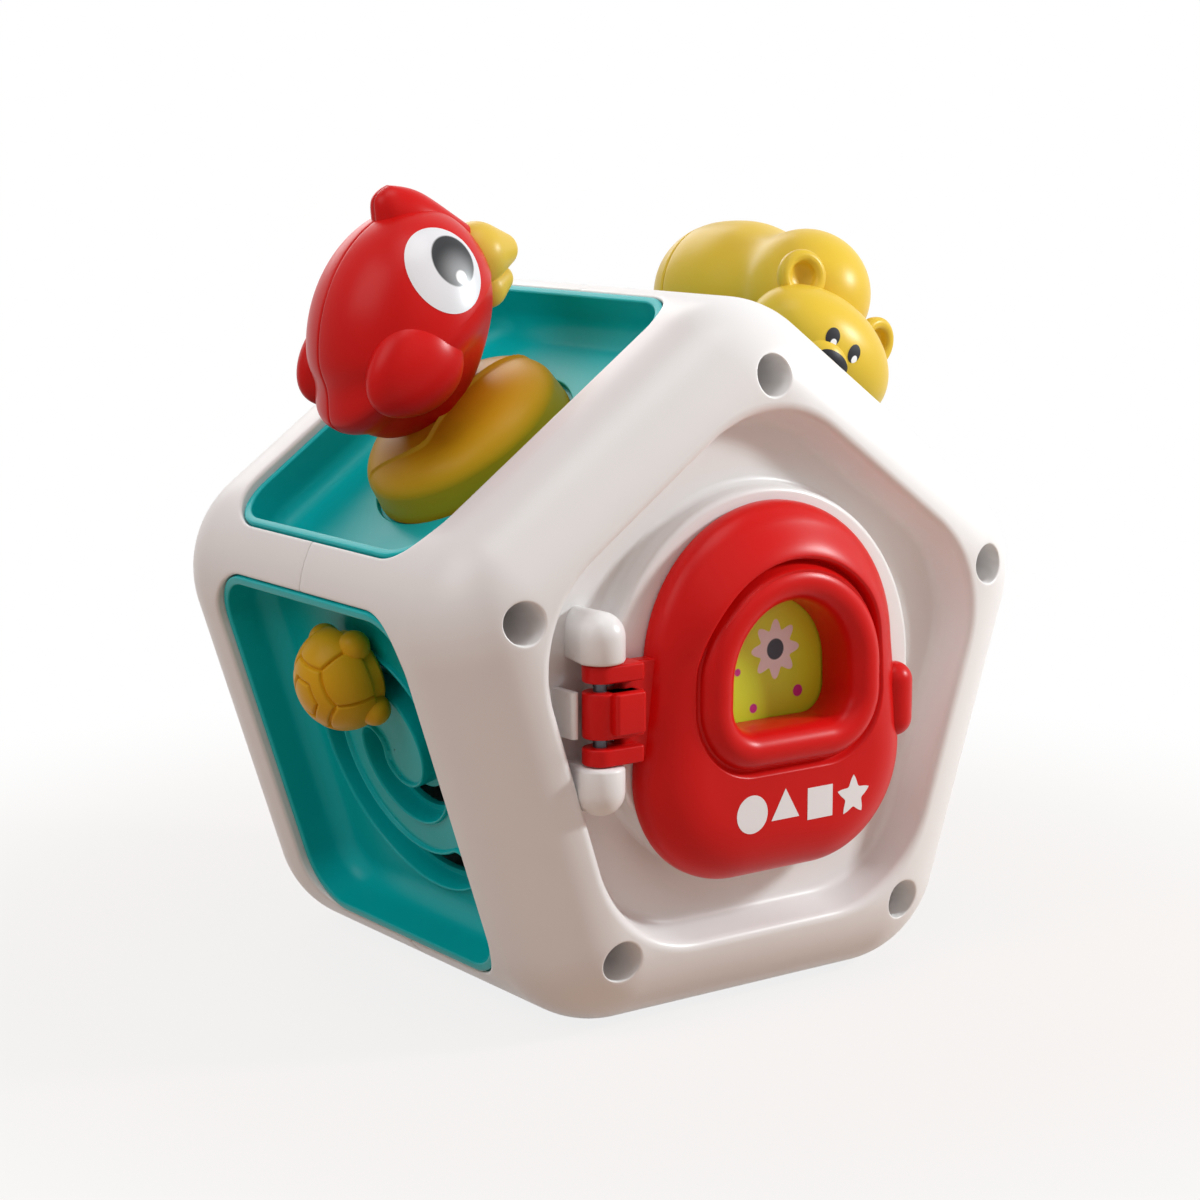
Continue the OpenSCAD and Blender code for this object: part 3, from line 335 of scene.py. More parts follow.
def half_window(grow):
    """The front half of a window's outline from seam to seam, grown: straight, arc, straight, arc,
    straight."""
    radius = WINDOW_R + grow
    u, v = WINDOW_HALF_LEN - WINDOW_R, WINDOW_HALF_W - WINDOW_R
    down = np.linspace(-SEAM_ROUND - SEAM_HALF, -v, SEAM_RUN)
    turn = np.linspace(np.pi, 1.5 * np.pi, 2 * HALF_CORNER + 1)
    left = joined(spread(-u - radius, down), radius * ray(turn) - [u, v])
    return joined(left, spread(np.linspace(-u, u, MIDDLE + 1), -v - radius), left[::-1] * [-1, 1])


def side_drop(u):
    """Depth of the rounded side below its plane at a distance along it from its middle."""
    past = np.maximum(np.abs(u) - FLAT_HALF, 0)
    return LONG_EDGE_R - np.sqrt(LONG_EDGE_R ** 2 - past ** 2)


def quarter(radius, count=6):
    """A rounding as pairs: what is left of the way in, and the way down."""
    turn = np.linspace(0, np.pi / 2, count)
    return radius * (1 - spread(np.sin(turn), np.cos(turn)))


def window_frame(angle):
    """The case round the front half of one window. Rows run from deep inside the window up its wall, over
    its rounded rim and across to the sharp prism's edges; columns run round the window from seam to seam."""
    face = spread(np.cos(angle), 0, np.sin(angle))
    rows, normals = [], []
    for out, down in [(0, WINDOW_WALL), *quarter(WINDOW_ROUND)[::-1]]:
        rim = half_window(out)
        rows.append(on_side(angle, raised(rim, -side_drop(rim[:, 0]) - down)))
        normals.append(np.broadcast_to(face, rows[-1].shape))
    lean = np.arcsin(np.clip((np.abs(rim[:, 0]) - FLAT_HALF) / LONG_EDGE_R, 0, 1))
    sharp = np.where(lean > 0, np.sign(rim[:, 0]) * (FLAT_HALF + LONG_EDGE_R * np.tan(lean)), rim[:, 0])
    start = spread(sharp, rim[:, 1], 0)
    u, v = WINDOW_HALF_LEN - WINDOW_R, WINDOW_HALF_W - WINDOW_R
    down = joined(rim[:SEAM_RUN, 1], np.linspace(-v, -HALF_DEPTH, HALF_CORNER + 1))
    across = np.linspace(-SIDE_HALF, -u, HALF_CORNER + 1)
    edge = joined(spread(-SIDE_HALF, down), spread(across, -HALF_DEPTH))
    edge = joined(edge, spread(np.linspace(-u, u, MIDDLE + 1), -HALF_DEPTH), edge[::-1] * [-1, 1])
    for part in np.linspace(0, 1, SIDE_ROWS)[1:]:
        points, normal = case_skin(on_side(angle, start + (raised(edge, 0) - start) * part))
        rows.append(points)
        normals.append(normal)
    points, normal = np.stack(rows), np.stack(normals)
    ends = [[points[:, column] + spread(0, SEAM_ROUND * step, 0) - normal[:, column] * sink
             for step, sink in SEAM_EDGE] for column in (0, -1)]
    return np.concatenate([np.stack(ends[0][::-1], 1), points, np.stack(ends[1], 1)], 1)


def recess_side(angle):
    """The recess's outline at its mouth along one side: half a corner's arc, the straight and half the next
    corner's arc. Returns points of the cross-section and their outward normals."""
    block = HALF_SHARE - BLOCK_ANGLE
    bend = joined(np.linspace(HALF_SHARE, block, HALF_CORNER + 1), np.linspace(block, 0, BEND_STEPS + 1))
    centre_r = (RECESS_MOUTH - RECESS_R) / np.cos(HALF_SHARE)
    halves = []
    for hand in (1, -1):
        normal = ray(angle + hand * bend)
        halves.append((centre_r * ray(angle + hand * HALF_SHARE) + RECESS_R * normal, normal))
    (left, left_normal), (right, right_normal) = halves
    part = np.linspace(0, 1, MIDDLE + 1 - 2 * BEND_STEPS)[:, None]
    straight = left[-1] + (right[-1] - left[-1]) * part
    flat = np.broadcast_to(left_normal[-1], straight.shape)
    return joined(left, straight, right[::-1]), joined(left_normal, flat, right_normal[::-1])


def recess_profile():
    """Way in from the mouth's edge and depth, from the front over the mouth's rounding, down the slope and
    round into the floor."""
    slope = np.arctan2(RECESS_DEPTH, RECESS_SLOPE)
    lead, run_out = RECESS_MOUTH_ROUND * np.tan(slope / 2), RECESS_FLOOR_ROUND * np.tan(slope / 2)
    turn = np.linspace(0, slope, 9)
    over = spread(-lead + RECESS_MOUTH_ROUND * np.sin(turn), RECESS_MOUTH_ROUND * (1 - np.cos(turn)))
    turn = turn[::-1]
    into = spread(RECESS_SLOPE + run_out - RECESS_FLOOR_ROUND * np.sin(turn),
                  RECESS_DEPTH - RECESS_FLOOR_ROUND * (1 - np.cos(turn)))
    return np.concatenate([over, into])


def face_rim(wells):
    """The front of the case between the sharp prism's edge and the recess's mouth. Along the middle of each
    side the rows run straight across. At a corner they run from a loop round the block to the well's rim,
    and on down the well, or straight across where there is no well."""
    lead = -recess_profile()[0, 0]
    u = WINDOW_HALF_LEN - WINDOW_R
    run = joined(np.linspace(-SIDE_HALF, -u, HALF_CORNER + 1), np.linspace(-u, u, MIDDLE + 1),
                 np.linspace(u, SIDE_HALF, HALF_CORNER + 1))
    part = np.linspace(0, 1, RIM_ROWS)[:, None, None]
    last = HALF_CORNER + MIDDLE
    edges, mouths, grids = [], [], []
    for angle in SIDES:
        points, normals = recess_side(angle)
        edges.append(on_side(angle, spread(run, -HALF_DEPTH, 0)))
        mouths.append(sharp_front(points + lead * normals))
        edge, mouth = edges[-1][HALF_CORNER:last + 1], mouths[-1][HALF_CORNER:last + 1]
        grids.append(case_skin(mouth + (edge - mouth) * part)[0])
    for side, angle in enumerate(SIDES):
        after = (side + 1) % len(SIDES)
        edge, mouth = (joined(runs[side][last:], runs[after][:HALF_CORNER + 1]) for runs in (edges, mouths))
        if not wells:
            grids.append(case_skin(mouth + (edge - mouth) * part)[0])
            continue
        inward = edge[-1] + (mouth[-1] - edge[-1]) * part[:, 0]
        outward = mouth[0] + (edge[0] - mouth[0]) * part[:, 0]
        loop = joined(edge, inward, mouth[::-1], outward)
        centre = WELL_CIRCLE_R * ray(angle - HALF_SHARE)
        way = ray(np.arctan2(loop[:, 2] - AXIS_Z - centre[1], loop[:, 0] - centre[0]))
        rows = [in_case(centre + reach * way, WELL_DEPTH - HALF_DEPTH) for reach in (0, WELL_R)]
        for out, down in quarter(WELL_ROUND)[::-1]:
            across = centre + (WELL_R + out) * way
            rows.append(in_case(across, down - front_bulge(across)))
        rim = sharp_front(across)
        rows += [case_skin(rim + (loop - rim) * step)[0] for step in np.linspace(0, 1, WELL_ROWS)[1:]]
        grids.append(np.stack(rows))
    return grids


def recess_bowl():
    """The recess: its profile carried round the mouth's outline, then its flat floor drawn in to the
    middle."""
    points, normals = (joined(*runs) for runs in zip(*[recess_side(angle) for angle in SIDES]))
    rows = []
    for inset, depth in recess_profile():
        across = points - inset * normals
        rows.append(in_case(across, depth - front_bulge(across)))
    middle = spread(0.0, RECESS_DEPTH - HALF_DEPTH, AXIS_Z)
    return np.concatenate([np.stack(rows), drawn_in(rows[-1], middle, (0.3, 0.6, 1.0))])


def stretched(circles, arc=18, line=14):
    """Outline of a band stretched round circles, given counter-clockwise as x, y, radius: for each circle
    its arc and the straight run to the next. Returns points and outward normals, with the first point again
    last."""
    circles = np.asarray(circles, float)
    ahead = np.roll(circles, -1, 0)
    gap = ahead[:, :2] - circles[:, :2]
    length = np.linalg.norm(gap, axis=1, keepdims=True)
    way, lean = gap / length, (circles[:, 2:] - ahead[:, 2:]) / length
    touch = lean * way + np.sqrt(1 - lean ** 2) * (way[:, ::-1] * [1, -1])
    leave = np.arctan2(touch[:, 1], touch[:, 0])
    run = np.linspace(0, 1, line)[1:-1, None]
    points, normals = [], []
    for here, there, first, last, normal in zip(circles, ahead, np.roll(leave, 1), leave, touch):
        out = ray(np.linspace(first, first + (last - first) % (2 * np.pi), arc))
        start, end = here[:2] + here[2] * normal, there[:2] + there[2] * normal
        points += [here[:2] + here[2] * out, start + (end - start) * run]
        normals += [out, np.broadcast_to(normal, (line - 2, 2))]
    return tuple(np.concatenate(runs + [runs[0][:1]]) for runs in (points, normals))


def carried(outline, profile):
    """A profile of pairs, the way in and the height, carried round an outline: one row of points for each
    pair."""
    points, normals = outline
    return np.stack([raised(points - inset * normals, height) for inset, height in profile])


def drawn_in(row, target, steps):
    """Rows that lead from a row of points to another row or to one point, after the first row itself."""
    return np.stack([row + (target - row) * step for step in steps])


def facing(outline, centre, row):
    """The points of an outline that lie in the same directions from a centre as the points of a row."""
    points = outline[0][:-1] - centre
    swing = np.arctan2(points[:, 1], points[:, 0])
    order = np.argsort(swing)
    wanted = np.arctan2(row[:, 1] - centre[1], row[:, 0] - centre[0])
    reach = np.interp(wanted, swing[order], np.linalg.norm(points, axis=1)[order], period=2 * np.pi)
    return centre + reach[:, None] * ray(wanted)


def rounded_rect(half_x, half_y, radius, centre=(0, 0), line=26):
    """Outline of a rectangle with round corners."""
    x, y = half_x - radius, half_y - radius
    corners = [(x, y), (-x, y), (-x, -y), (x, -y)]
    return stretched([(centre[0] + a, centre[1] + b, radius) for a, b in corners], arc=16, line=line)


FRONT_BED = [(-0.01, 1.0, 42.5), (0.01, 1.0, 42.5)]
BACK_BED = [(0, 8, 39), (-11, -16, 33), (11, -16, 33)]
BED_TOP = -3.5
BED_ROUND = 1.3
BED_FOOT = 1.8
CARD_HALF = 25.0
CARD_R = 10.0
CARD_CENTRE = (0, 2.5)
CARD_GAP = 0.3
POCKET_FLOOR = -4.7


def bed(pocket):
    """Raised bed on the recess's floor: a wall with a hollow foot and a rounded top edge carried round its
    outline. The front one is a disc with a pocket for the picture, the back one is an egg and flat."""
    left, down = quarter(BED_FOOT, 7).T
    foot = spread(-left, down - RECESS_DEPTH)
    left, down = quarter(BED_ROUND, 7).T
    top = spread(down, BED_TOP - left)
    outline = stretched(FRONT_BED, 90, 3) if pocket else stretched(BACK_BED)
    rows = carried(outline, np.concatenate([foot, top]))
    steps = np.linspace(0, 1, 5)[1:]
    if not pocket:
        return np.concatenate([rows, drawn_in(rows[-1], spread(0.0, 0.0, BED_TOP), steps)])
    half, corner = CARD_HALF + CARD_GAP, CARD_R + CARD_GAP
    hole = facing(rounded_rect(half, half, corner, CARD_CENTRE), CARD_CENTRE, rows[-1])
    pocket_floor = drawn_in(raised(hole, POCKET_FLOOR), spread(*CARD_CENTRE, POCKET_FLOOR), (0, 0.5, 1))
    return np.concatenate([rows, drawn_in(rows[-1], raised(hole, BED_TOP), steps), pocket_floor])


HINGE_X = -46.0
HINGE_Z = -0.5
HINGE_POST_R = 5.3
HINGE_NECK = 0.55
HINGE_GAP_HALF = 10.9
HINGE_DOME_Y = 16.3
# The lugs' edge towards the gap: the way along the lug, and what it is thinner there
LUG_EDGE = [(0, 0.8), (0.3, 0.25), (0.8, 0)]
LUG_SINK = 0.2
POINT = 1e-4
RIB_LEFT, RIB_RIGHT, RIB_TOP, RIB_HALF_LEN = -52.2, -50.4, -1.5, 4.9


def arch(middle_x, base, stations, neck=1.0):
    """A lug with a round top: sections across it at stations, each given as the place along Y, the half width
    and the height of the round top's middle. The neck is the base's width over the round top's."""
    turn = np.linspace(0, np.pi, 25)
    rows = []
    for y, half, spring in stations:
        x = np.concatenate([[half * neck], half * np.cos(turn), [-half * neck]])
        z = np.concatenate([[base], spring + half * np.sin(turn), [base]])
        rows.append(spread(middle_x + x, y, z))
    return np.stack(rows)


def hinge_post():
    """The two lugs of the hinge post, flat towards the gap and domed at their outer ends, and the low rib."""
    base, dome = -RECESS_DEPTH - LUG_SINK, np.linspace(0, np.pi / 2, 12)
    lug = [(HINGE_GAP_HALF, POINT)] + [(HINGE_GAP_HALF + way, HINGE_POST_R - thin) for way, thin in LUG_EDGE]
    along, half = HINGE_DOME_Y + HINGE_POST_R * np.sin(dome), HINGE_POST_R * np.cos(dome)
    lug += list(zip(along, np.maximum(half, POINT)))
    upper = arch(HINGE_X, base, [(y, half, HINGE_Z) for y, half in lug], HINGE_NECK)
    rib_half = (RIB_RIGHT - RIB_LEFT) / 2
    rib = [(-RIB_HALF_LEN, POINT), (-RIB_HALF_LEN, rib_half), (RIB_HALF_LEN, rib_half), (RIB_HALF_LEN, POINT)]
    rib = arch(RIB_LEFT + rib_half, base, [(y, half, RIB_TOP - rib_half) for y, half in rib])
    return [upper, upper * [1, -1, 1], rib]


# Moulded plastic's patterns, each as its scale and detail, and how strongly they show
CLOUD, PATCH, GRAIN = (22.0, 3.0), (140.0, 2.0), (2600.0, 2.0)
CLOUD_SPAN, PATCH_ROUGH, GRAIN_STRENGTH, GRAIN_DEPTH = (0.3, 0.7), 0.08, 0.06, 0.0001
WELD, SLIVER = 0.003, 0.0005


def principled(made, tree, sockets):
    """Ends a material with a principled surface that has these socket values or links."""
    tree.node("OutputMaterial", None, {"Surface": tree.node("BsdfPrincipled", None, sockets)})
    return made


def moulded(name, colour, rough=0.30, vary=0.03, shine=0.2):
    """Moulded plastic: a faint cloud of paler and darker colour, a satin that varies a little, and a very
    fine grain that bends the light."""
    made, tree = material(name)
    place = tree.node("TexCoord", out="Object")
    cloud, patch, grain = (tree.node("TexNoise", None, {"Vector": place, "Scale": scale, "Detail": detail})
                           for scale, detail in (CLOUD, PATCH, GRAIN))
    colour = np.array(colour)
    base = cloud.step(*CLOUD_SPAN).mix(colour * (1 - vary), np.minimum(colour * (1 + vary), 1))
    bump = tree.node("Bump", None, {"Height": grain, "Strength": GRAIN_STRENGTH, "Distance": GRAIN_DEPTH})
    return principled(made, tree, {"Base Color": base, "Roughness": rough + PATCH_ROUGH * patch,
                                   "Normal": bump, "Specular IOR Level": shine})


def piece(name, body, finish, grids, stands_for=(), crease=40):
    """One welded mesh in the shared frame from grids of points in mm: neighbouring rows and columns make
    quads. A grid may come as a pair with its own grid of UVs. Doubles are merged, faces are turned outwards,
    and edges sharper than the crease stay hard. The piece rides on its body and stands for its CAD nodes."""
    points, maps, quads, count = [], [], [], 0
    for grid in grids:
        grid, uv = grid if isinstance(grid, tuple) else (grid, np.zeros(grid.shape[:2] + (2,)))
        index = count + np.arange(grid.shape[0] * grid.shape[1]).reshape(grid.shape[:2])
        corners = [index[:-1, :-1], index[1:, :-1], index[1:, 1:], index[:-1, 1:]]
        quads.append(np.stack(corners, -1).reshape(-1, 4))
        points.append(grid.reshape(-1, 3))
        maps.append(uv.reshape(-1, 2))
        count += index.size
    points = (np.concatenate(points) + [0, MIDDLE_Y, 0]) * MM
    maps, quads = np.concatenate(maps), np.concatenate(quads)
    mesh = bpy.data.meshes.new(name)
    mesh.vertices.add(len(points))
    mesh.vertices.foreach_set("co", points.astype(np.float32).ravel())
    mesh.loops.add(quads.size)
    mesh.loops.foreach_set("vertex_index", quads.astype(np.int32).ravel())
    mesh.polygons.add(len(quads))
    mesh.polygons.foreach_set("loop_start", np.arange(0, quads.size, 4, dtype=np.int32))
    mesh.update(calc_edges=True)
    mesh.uv_layers.new(name="UVMap").data.foreach_set("uv", maps[quads.ravel()].astype(np.float32).ravel())
    shell = bmesh.new()
    shell.from_mesh(mesh)
    bmesh.ops.remove_doubles(shell, verts=shell.verts, dist=WELD * MM)
    bmesh.ops.dissolve_degenerate(shell, edges=shell.edges, dist=SLIVER * MM)
    bmesh.ops.recalc_face_normals(shell, faces=shell.faces)
    shell.to_mesh(mesh)
    shell.free()
    mesh.shade_smooth()
    mesh.set_sharp_from_angle(angle=np.radians(crease))
    mesh.materials.append(finish)
    made = bpy.data.objects.new(name, mesh)
    scene.collection.objects.link(made)
    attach(made, body)
    if stands_for:
        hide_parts(*stands_for)


case_white = moulded("case_white", (0.83, 0.825, 0.82), rough=0.30, vary=0.012, shine=0.4)
windows = [window_frame(angle) for angle in SIDES]
front = windows + face_rim(True) + [recess_bowl()] + [on_front(grid) for grid in [bed(True)] + hinge_post()]
piece("front_case_skin", "case", case_white, front, ["front_shell"])
rear = windows + face_rim(False) + [recess_bowl(), on_front(bed(False))]
rear = [grid * [1, -1, 1] for grid in rear]
piece("rear_case_skin", "case", case_white, rear, ["rear_shell"])

# Trays
# Five turquoise tubs, one in each window, held behind the case by lips on their long sides. The bird's and
# the bear's have a round seat in the floor, the maze's a spiral groove with an open slot along it, the gears'
# three posts, and the bottom one is shallow.
TRAY_HALF_LEN, TRAY_HALF_W, TRAY_R = 43.5, 40.2, 12.7
TRAY_RIM = -1.8
TRAY_SKIRT = -9.0
TRAY_RIM_W = 2.0
TRAY_EDGE = 0.5
TRAY_DRAFT = 0.3
TRAY_DEPTH, TRAY_FILLET = 13.0, 5.5
BASE_DEPTH, BASE_FILLET = 7.0, 3.5
SEAT_R, SEAT_DEPTH, SEAT_EDGE = 25.3, 1.5, 0.4
SPIRAL_R, SPIRAL_PITCH, SPIRAL_END = 8.3, 2.7, np.radians(480)
GROOVE_HALF, GROOVE_DEPTH, GROOVE_LIP, GROOVE_LIP_W = 4.1, 4.0, 0.9, 1.0
GROOVE_DRAFT = 0.3
SLOT_HALF, SLOT_DEPTH = 2.3, 5.4
# The maze's winding in degrees, as from, to and step, finer round the groove's end, and its columns' places
WINDING = [(-356, 460, 1.25), (460, 506, 0.3), (506, 1044, 1.25)]
WALL_NEAR, WALL_FAR, RIBBON_HALF, WALL_TOP = 3.7, 5.3, 6.5, 0.02
MAZE_HALF = (36.3, 33.0)
GEAR_PLACES = [(-16.125, 11.077), (0.0, -11.077), (16.125, 11.077)]
GEAR_POST_R, GEAR_POST_TOP = 3.0, -3.8


def stood(angle, *grids):
    """Grids of points stood on a side of the case."""
    return [on_side(angle, grid) for grid in grids]


def tub(depth, fillet):
    """A tub's profile carried round its outline: up the skirt, over the rounded rim, down the wall and round
    into the floor."""
    left, down = quarter(TRAY_EDGE).T
    over, inner = spread(down, TRAY_RIM - left), spread(TRAY_RIM_W - left, TRAY_RIM - down)
    left, down = quarter(fillet, 12).T
    foot = spread(TRAY_RIM_W + TRAY_DRAFT + down, left - depth)
    profile = np.concatenate([[(0, TRAY_SKIRT)], over, inner, foot])
    return carried(rounded_rect(TRAY_HALF_LEN, TRAY_HALF_W, TRAY_R), profile)


def flat_floor(row):
    """A tub's floor from its last row straight in to the middle."""
    return drawn_in(row, row[0] * [0, 0, 1], (0, 0.5, 1))


def seat_floor(row):
    """A tub's floor from its last row in to the round seat, over the seat's edge, down and to the middle."""
    way = row[:, :2] / np.linalg.norm(row[:, :2], axis=1, keepdims=True)
    profile = [*(quarter(SEAT_EDGE) + [SEAT_R, 0]), (SEAT_R, SEAT_DEPTH), (0, SEAT_DEPTH)]
    rows = np.stack([raised(way * reach, -TRAY_DEPTH - down) for reach, down in profile])
    return np.concatenate([drawn_in(row, rows[0], (0, 0.5)), rows])


def spiral_at(angle, radius):
    """A point of the maze's floor at an angle from +Y towards -X and a distance from the spiral's centre."""
    return spread(-radius * np.sin(angle), radius * np.cos(angle))


def maze_floor(side):
    """Half of the maze's floor, a ribbon wound along one side of the spiral and clipped to the tub. Its
    height depends on the distance from the spiral: the groove's floor and wall, a rounded lip, then the plain
    floor. Points inside the open slot are drawn to its edge and down to the tray's underside."""
    angle = np.radians(np.concatenate([np.arange(*run) for run in WINDING]))
    beside = ((angle >= 0) & (angle <= SPIRAL_END))[:, None]
    radius = SPIRAL_R + SPIRAL_PITCH * angle
    slant = np.sqrt(1 + (SPIRAL_PITCH / np.maximum(radius, SPIRAL_R)) ** 2)
    inner = np.linspace(0, SLOT_HALF, 8)
    outer = joined(np.linspace(SLOT_HALF, WALL_NEAR, 6), np.linspace(WALL_NEAR, WALL_FAR, 17),
                   np.linspace(WALL_FAR, RIBBON_HALF, 3))
    half = np.outer(slant, np.concatenate([inner, outer]))
    half = np.concatenate([half, np.full((len(angle), 1), np.pi * SPIRAL_PITCH)], 1)
    plan = spiral_at(angle[:, None], np.maximum(radius[:, None] + side * half, 0))
    line = spiral_at(angle[beside[:, 0]], radius[beside[:, 0]])
    away = np.stack([np.linalg.norm(row[:, None] - line, axis=-1).min(1) for row in plan])
    lip = np.clip(1 - ((away - GROOVE_HALF - GROOVE_LIP_W / 2) / (GROOVE_LIP_W / 2)) ** 2, 0, 1)
    height = -TRAY_DEPTH + GROOVE_LIP * np.sqrt(lip)
    wall = np.clip((GROOVE_HALF - away) / GROOVE_DRAFT, 0, 1)
    height = np.where(away < GROOVE_HALF - WALL_TOP, -TRAY_DEPTH - GROOVE_DEPTH * wall, height)
    in_slot = beside & (np.arange(half.shape[1]) < len(inner))
    plan = np.where(in_slot[..., None], plan[:, len(inner), None], plan)
    for end in (line[0], line[-1]):
        gap = plan - end
        far = np.linalg.norm(gap, axis=-1, keepdims=True)
        past = ~beside & (far[..., 0] < SLOT_HALF)
        plan = np.where(past[..., None], end + gap * SLOT_HALF / np.maximum(far, 1e-6), plan)
        in_slot = in_slot | past
    height = np.where(in_slot, -TRAY_DEPTH - SLOT_DEPTH, height)
    return raised(np.clip(plan, np.negative(MAZE_HALF), MAZE_HALF), height)


def lathe(profile, count=96):
    """A profile of pairs, radius and height, turned about Z."""
    turn = np.linspace(0, 2 * np.pi, count + 1)
    return np.stack([raised(radius * ray(turn), height) for radius, height in profile])


tray_teal = moulded("tray_teal", (0.0, 0.47, 0.49), rough=0.30, vary=0.04, shine=0.18)
plain, shallow = tub(TRAY_DEPTH, TRAY_FILLET), tub(BASE_DEPTH, BASE_FILLET)
flat, seat, base = flat_floor(plain[-1]), seat_floor(plain[-1]), flat_floor(shallow[-1])
post = lathe([(GEAR_POST_R, -TRAY_DEPTH), (GEAR_POST_R, GEAR_POST_TOP), (0, GEAR_POST_TOP)], 32)
for name, angle, grids in [
        ("bird_tray", UPPER_LEFT, [plain, seat]),
        ("bear_tray", UPPER_RIGHT, [plain, seat]),
        ("maze_tray", LOWER_LEFT, [plain, maze_floor(-1), maze_floor(1)]),
        ("gear_tray", LOWER_RIGHT, [plain, flat] + [post + [x, y, 0] for x, y in GEAR_PLACES]),
        ("base_tray", BASE, [shallow, base])]:
    piece(name + "_tub", "case", tray_teal, stood(angle, *grids), [name])

# Turning buns
# Two round domes, one under each figure, that turn in their trays' seats on a spindle. A fine moulded wave,
# a low step with a bead along it, runs across each dome in front of the figure.
BUN_R, BUN_BOTTOM, BUN_SIDE, BUN_TOP, BUN_SHOULDER = 24.5, -14.2, -8.0, 2.0, 0.5
BUN_CHAMFER = 0.4
WAVE_LOW, WAVE_FULL = BUN_SIDE + 1.5, BUN_SIDE + 4.5
WAVE_H, WAVE_EDGE, WAVE_FADE, WAVE_BEAD = 0.3, 0.28, 7.0, 0.6
WAVE_Y, WAVE_RISE, WAVE_BEND_X, WAVE_BEND = -8.4, 0.19, -11.0, 0.17


def smooth(value, low, high):
    """Rises smoothly from 0 to 1 between low and high."""
    part = np.clip((value - low) / (high - low), 0, 1)
    return part * part * (3 - 2 * part)


def bun():
    """A dome on a steep foot, lathed, with the wave added. The wave's line is straight in plan and bends back
    as a parabola at its tail end. The dome rises in a short step at the line, with a bead along it, and sinks
    back slowly behind it."""
    turn = np.linspace(0, np.pi / 2, 160)
    foot = [(BUN_R - BUN_CHAMFER, BUN_BOTTOM), (BUN_R, BUN_BOTTOM + BUN_CHAMFER), (BUN_R, -TRAY_DEPTH)]
    dome = spread((BUN_R - BUN_SHOULDER) * np.cos(turn), BUN_SIDE + (BUN_TOP - BUN_SIDE) * np.sin(turn))
    grid = lathe([*foot, *dome], 400)
    x, y = grid[..., 0] - WAVE_BEND_X, grid[..., 1]
    behind = y - WAVE_Y - WAVE_RISE * np.maximum(x, 0) - WAVE_BEND * np.minimum(x, 0) ** 2
    wave = WAVE_H * smooth(behind, -WAVE_EDGE, WAVE_EDGE) * np.exp(-np.maximum(behind, 0) / WAVE_FADE)
    wave += WAVE_BEAD * np.exp(-((behind - WAVE_EDGE) / WAVE_EDGE) ** 2)
    grid[..., 2] += wave * smooth(grid[..., 2], WAVE_LOW, WAVE_FULL)
    return grid


ochre = moulded("ochre", (0.68, 0.38, 0.012), rough=0.33, vary=0.04, shine=0.14)
lemon = moulded("lemon", (0.74, 0.51, 0.045), rough=0.30, vary=0.03)
piece("bird_bun_dome", "bird", ochre, stood(UPPER_LEFT, bun()), ["bird_bun"])
piece("bear_bun_dome", "bear", lemon, stood(UPPER_RIGHT, bun()), ["bear_bun"])

# Bird
# A glossy red bird in two half shells that meet along its back, with a crest, a plump wing on each side, a
# flared tail, a yellow beak in two parts and a printed eye on each side, with a painted glint highlight. It
# is fixed to its bun.
BIRD_MID = np.array([1.3, 0.0, 20.3])
BIRD_LONG, BIRD_ROUND, BIRD_TILT = 27.2, 20.5, np.radians(37)
# Humps round the seam, as their middle and width in degrees and their height
TAIL_FLARE, TAIL_WAIST, BELLY = (191, 7, 1.5), (176, 9, -0.9), (272, 58, -5.6)
TAIL_CUT, CUT_FROM, CUT_TO = 3.0, (198, 214), (235, 262)
# The seam's edge, as the lift from it in degrees and the depth, and the wall behind it as a share
BIRD_SEAM, BIRD_WALL = [(0.15, 0.35), (0.5, 0.12), (1.0, 0.02)], 0.05
CREST_MID, CREST_LEAN = np.array([16.9, 0.0, 39.6]), np.radians(-28.7)
CREST_REAR, CREST_FRONT, CREST_TIP, CREST_UP, CREST_DOWN, CREST_HALF_W = -7.9, 10.0, -3.5, 7.1, 6.0, 5.4
CREST_SLOPE, CREST_REAR_BEND, CREST_FRONT_BEND, CREST_THIN, CREST_OVAL = 1.25, 5, 6, 1.5, 0.9
CREST_GROOVE, CREST_GAP = 0.16, 0.05
WING_MID, WING_HALF, WING_TAPER = np.array([-8.2, 14.9, 18.2]), (12.4, 6.4, 10.2), 0.16
EYE_MID, EYE_R = (10.2, 30.5), 9.0
# The eye's print over its UVs, as places and radii, with a painted highlight: a white glint
IRIS, GLINT, EYE_EDGE = (0.66, 0.52, 0.295), (0.585, 0.345, 0.08), 0.012
# Painted highlight on the iris: it pales from dark to grey towards this place, over this span
GLOW, GLOW_SPAN = (0.60, 0.38), (0.36, 0.05)
EYE_WHITE, IRIS_DARK, IRIS_PALE = (0.80, 0.81, 0.84), (0.012, 0.013, 0.015), (0.30, 0.31, 0.32)
GLINT_WHITE = (0.92, 0.92, 0.93)
PRINT_GAP = 0.06
# Each part of the beak as its root, the root's radius, its tip and the tip's radius
UPPER_BEAK = np.array([26.4, 0.0, 21.6]), 7.4, np.array([32.2, 0.0, 18.4]), 4.0
LOWER_BEAK = np.array([24.4, 0.0, 13.8]), 4.6, np.array([28.4, 0.0, 13.3]), 3.0


def bell(angle, middle, width, height):
    """A smooth hump over an angle in degrees."""
    return height * np.exp(-((angle - middle) / width) ** 2)


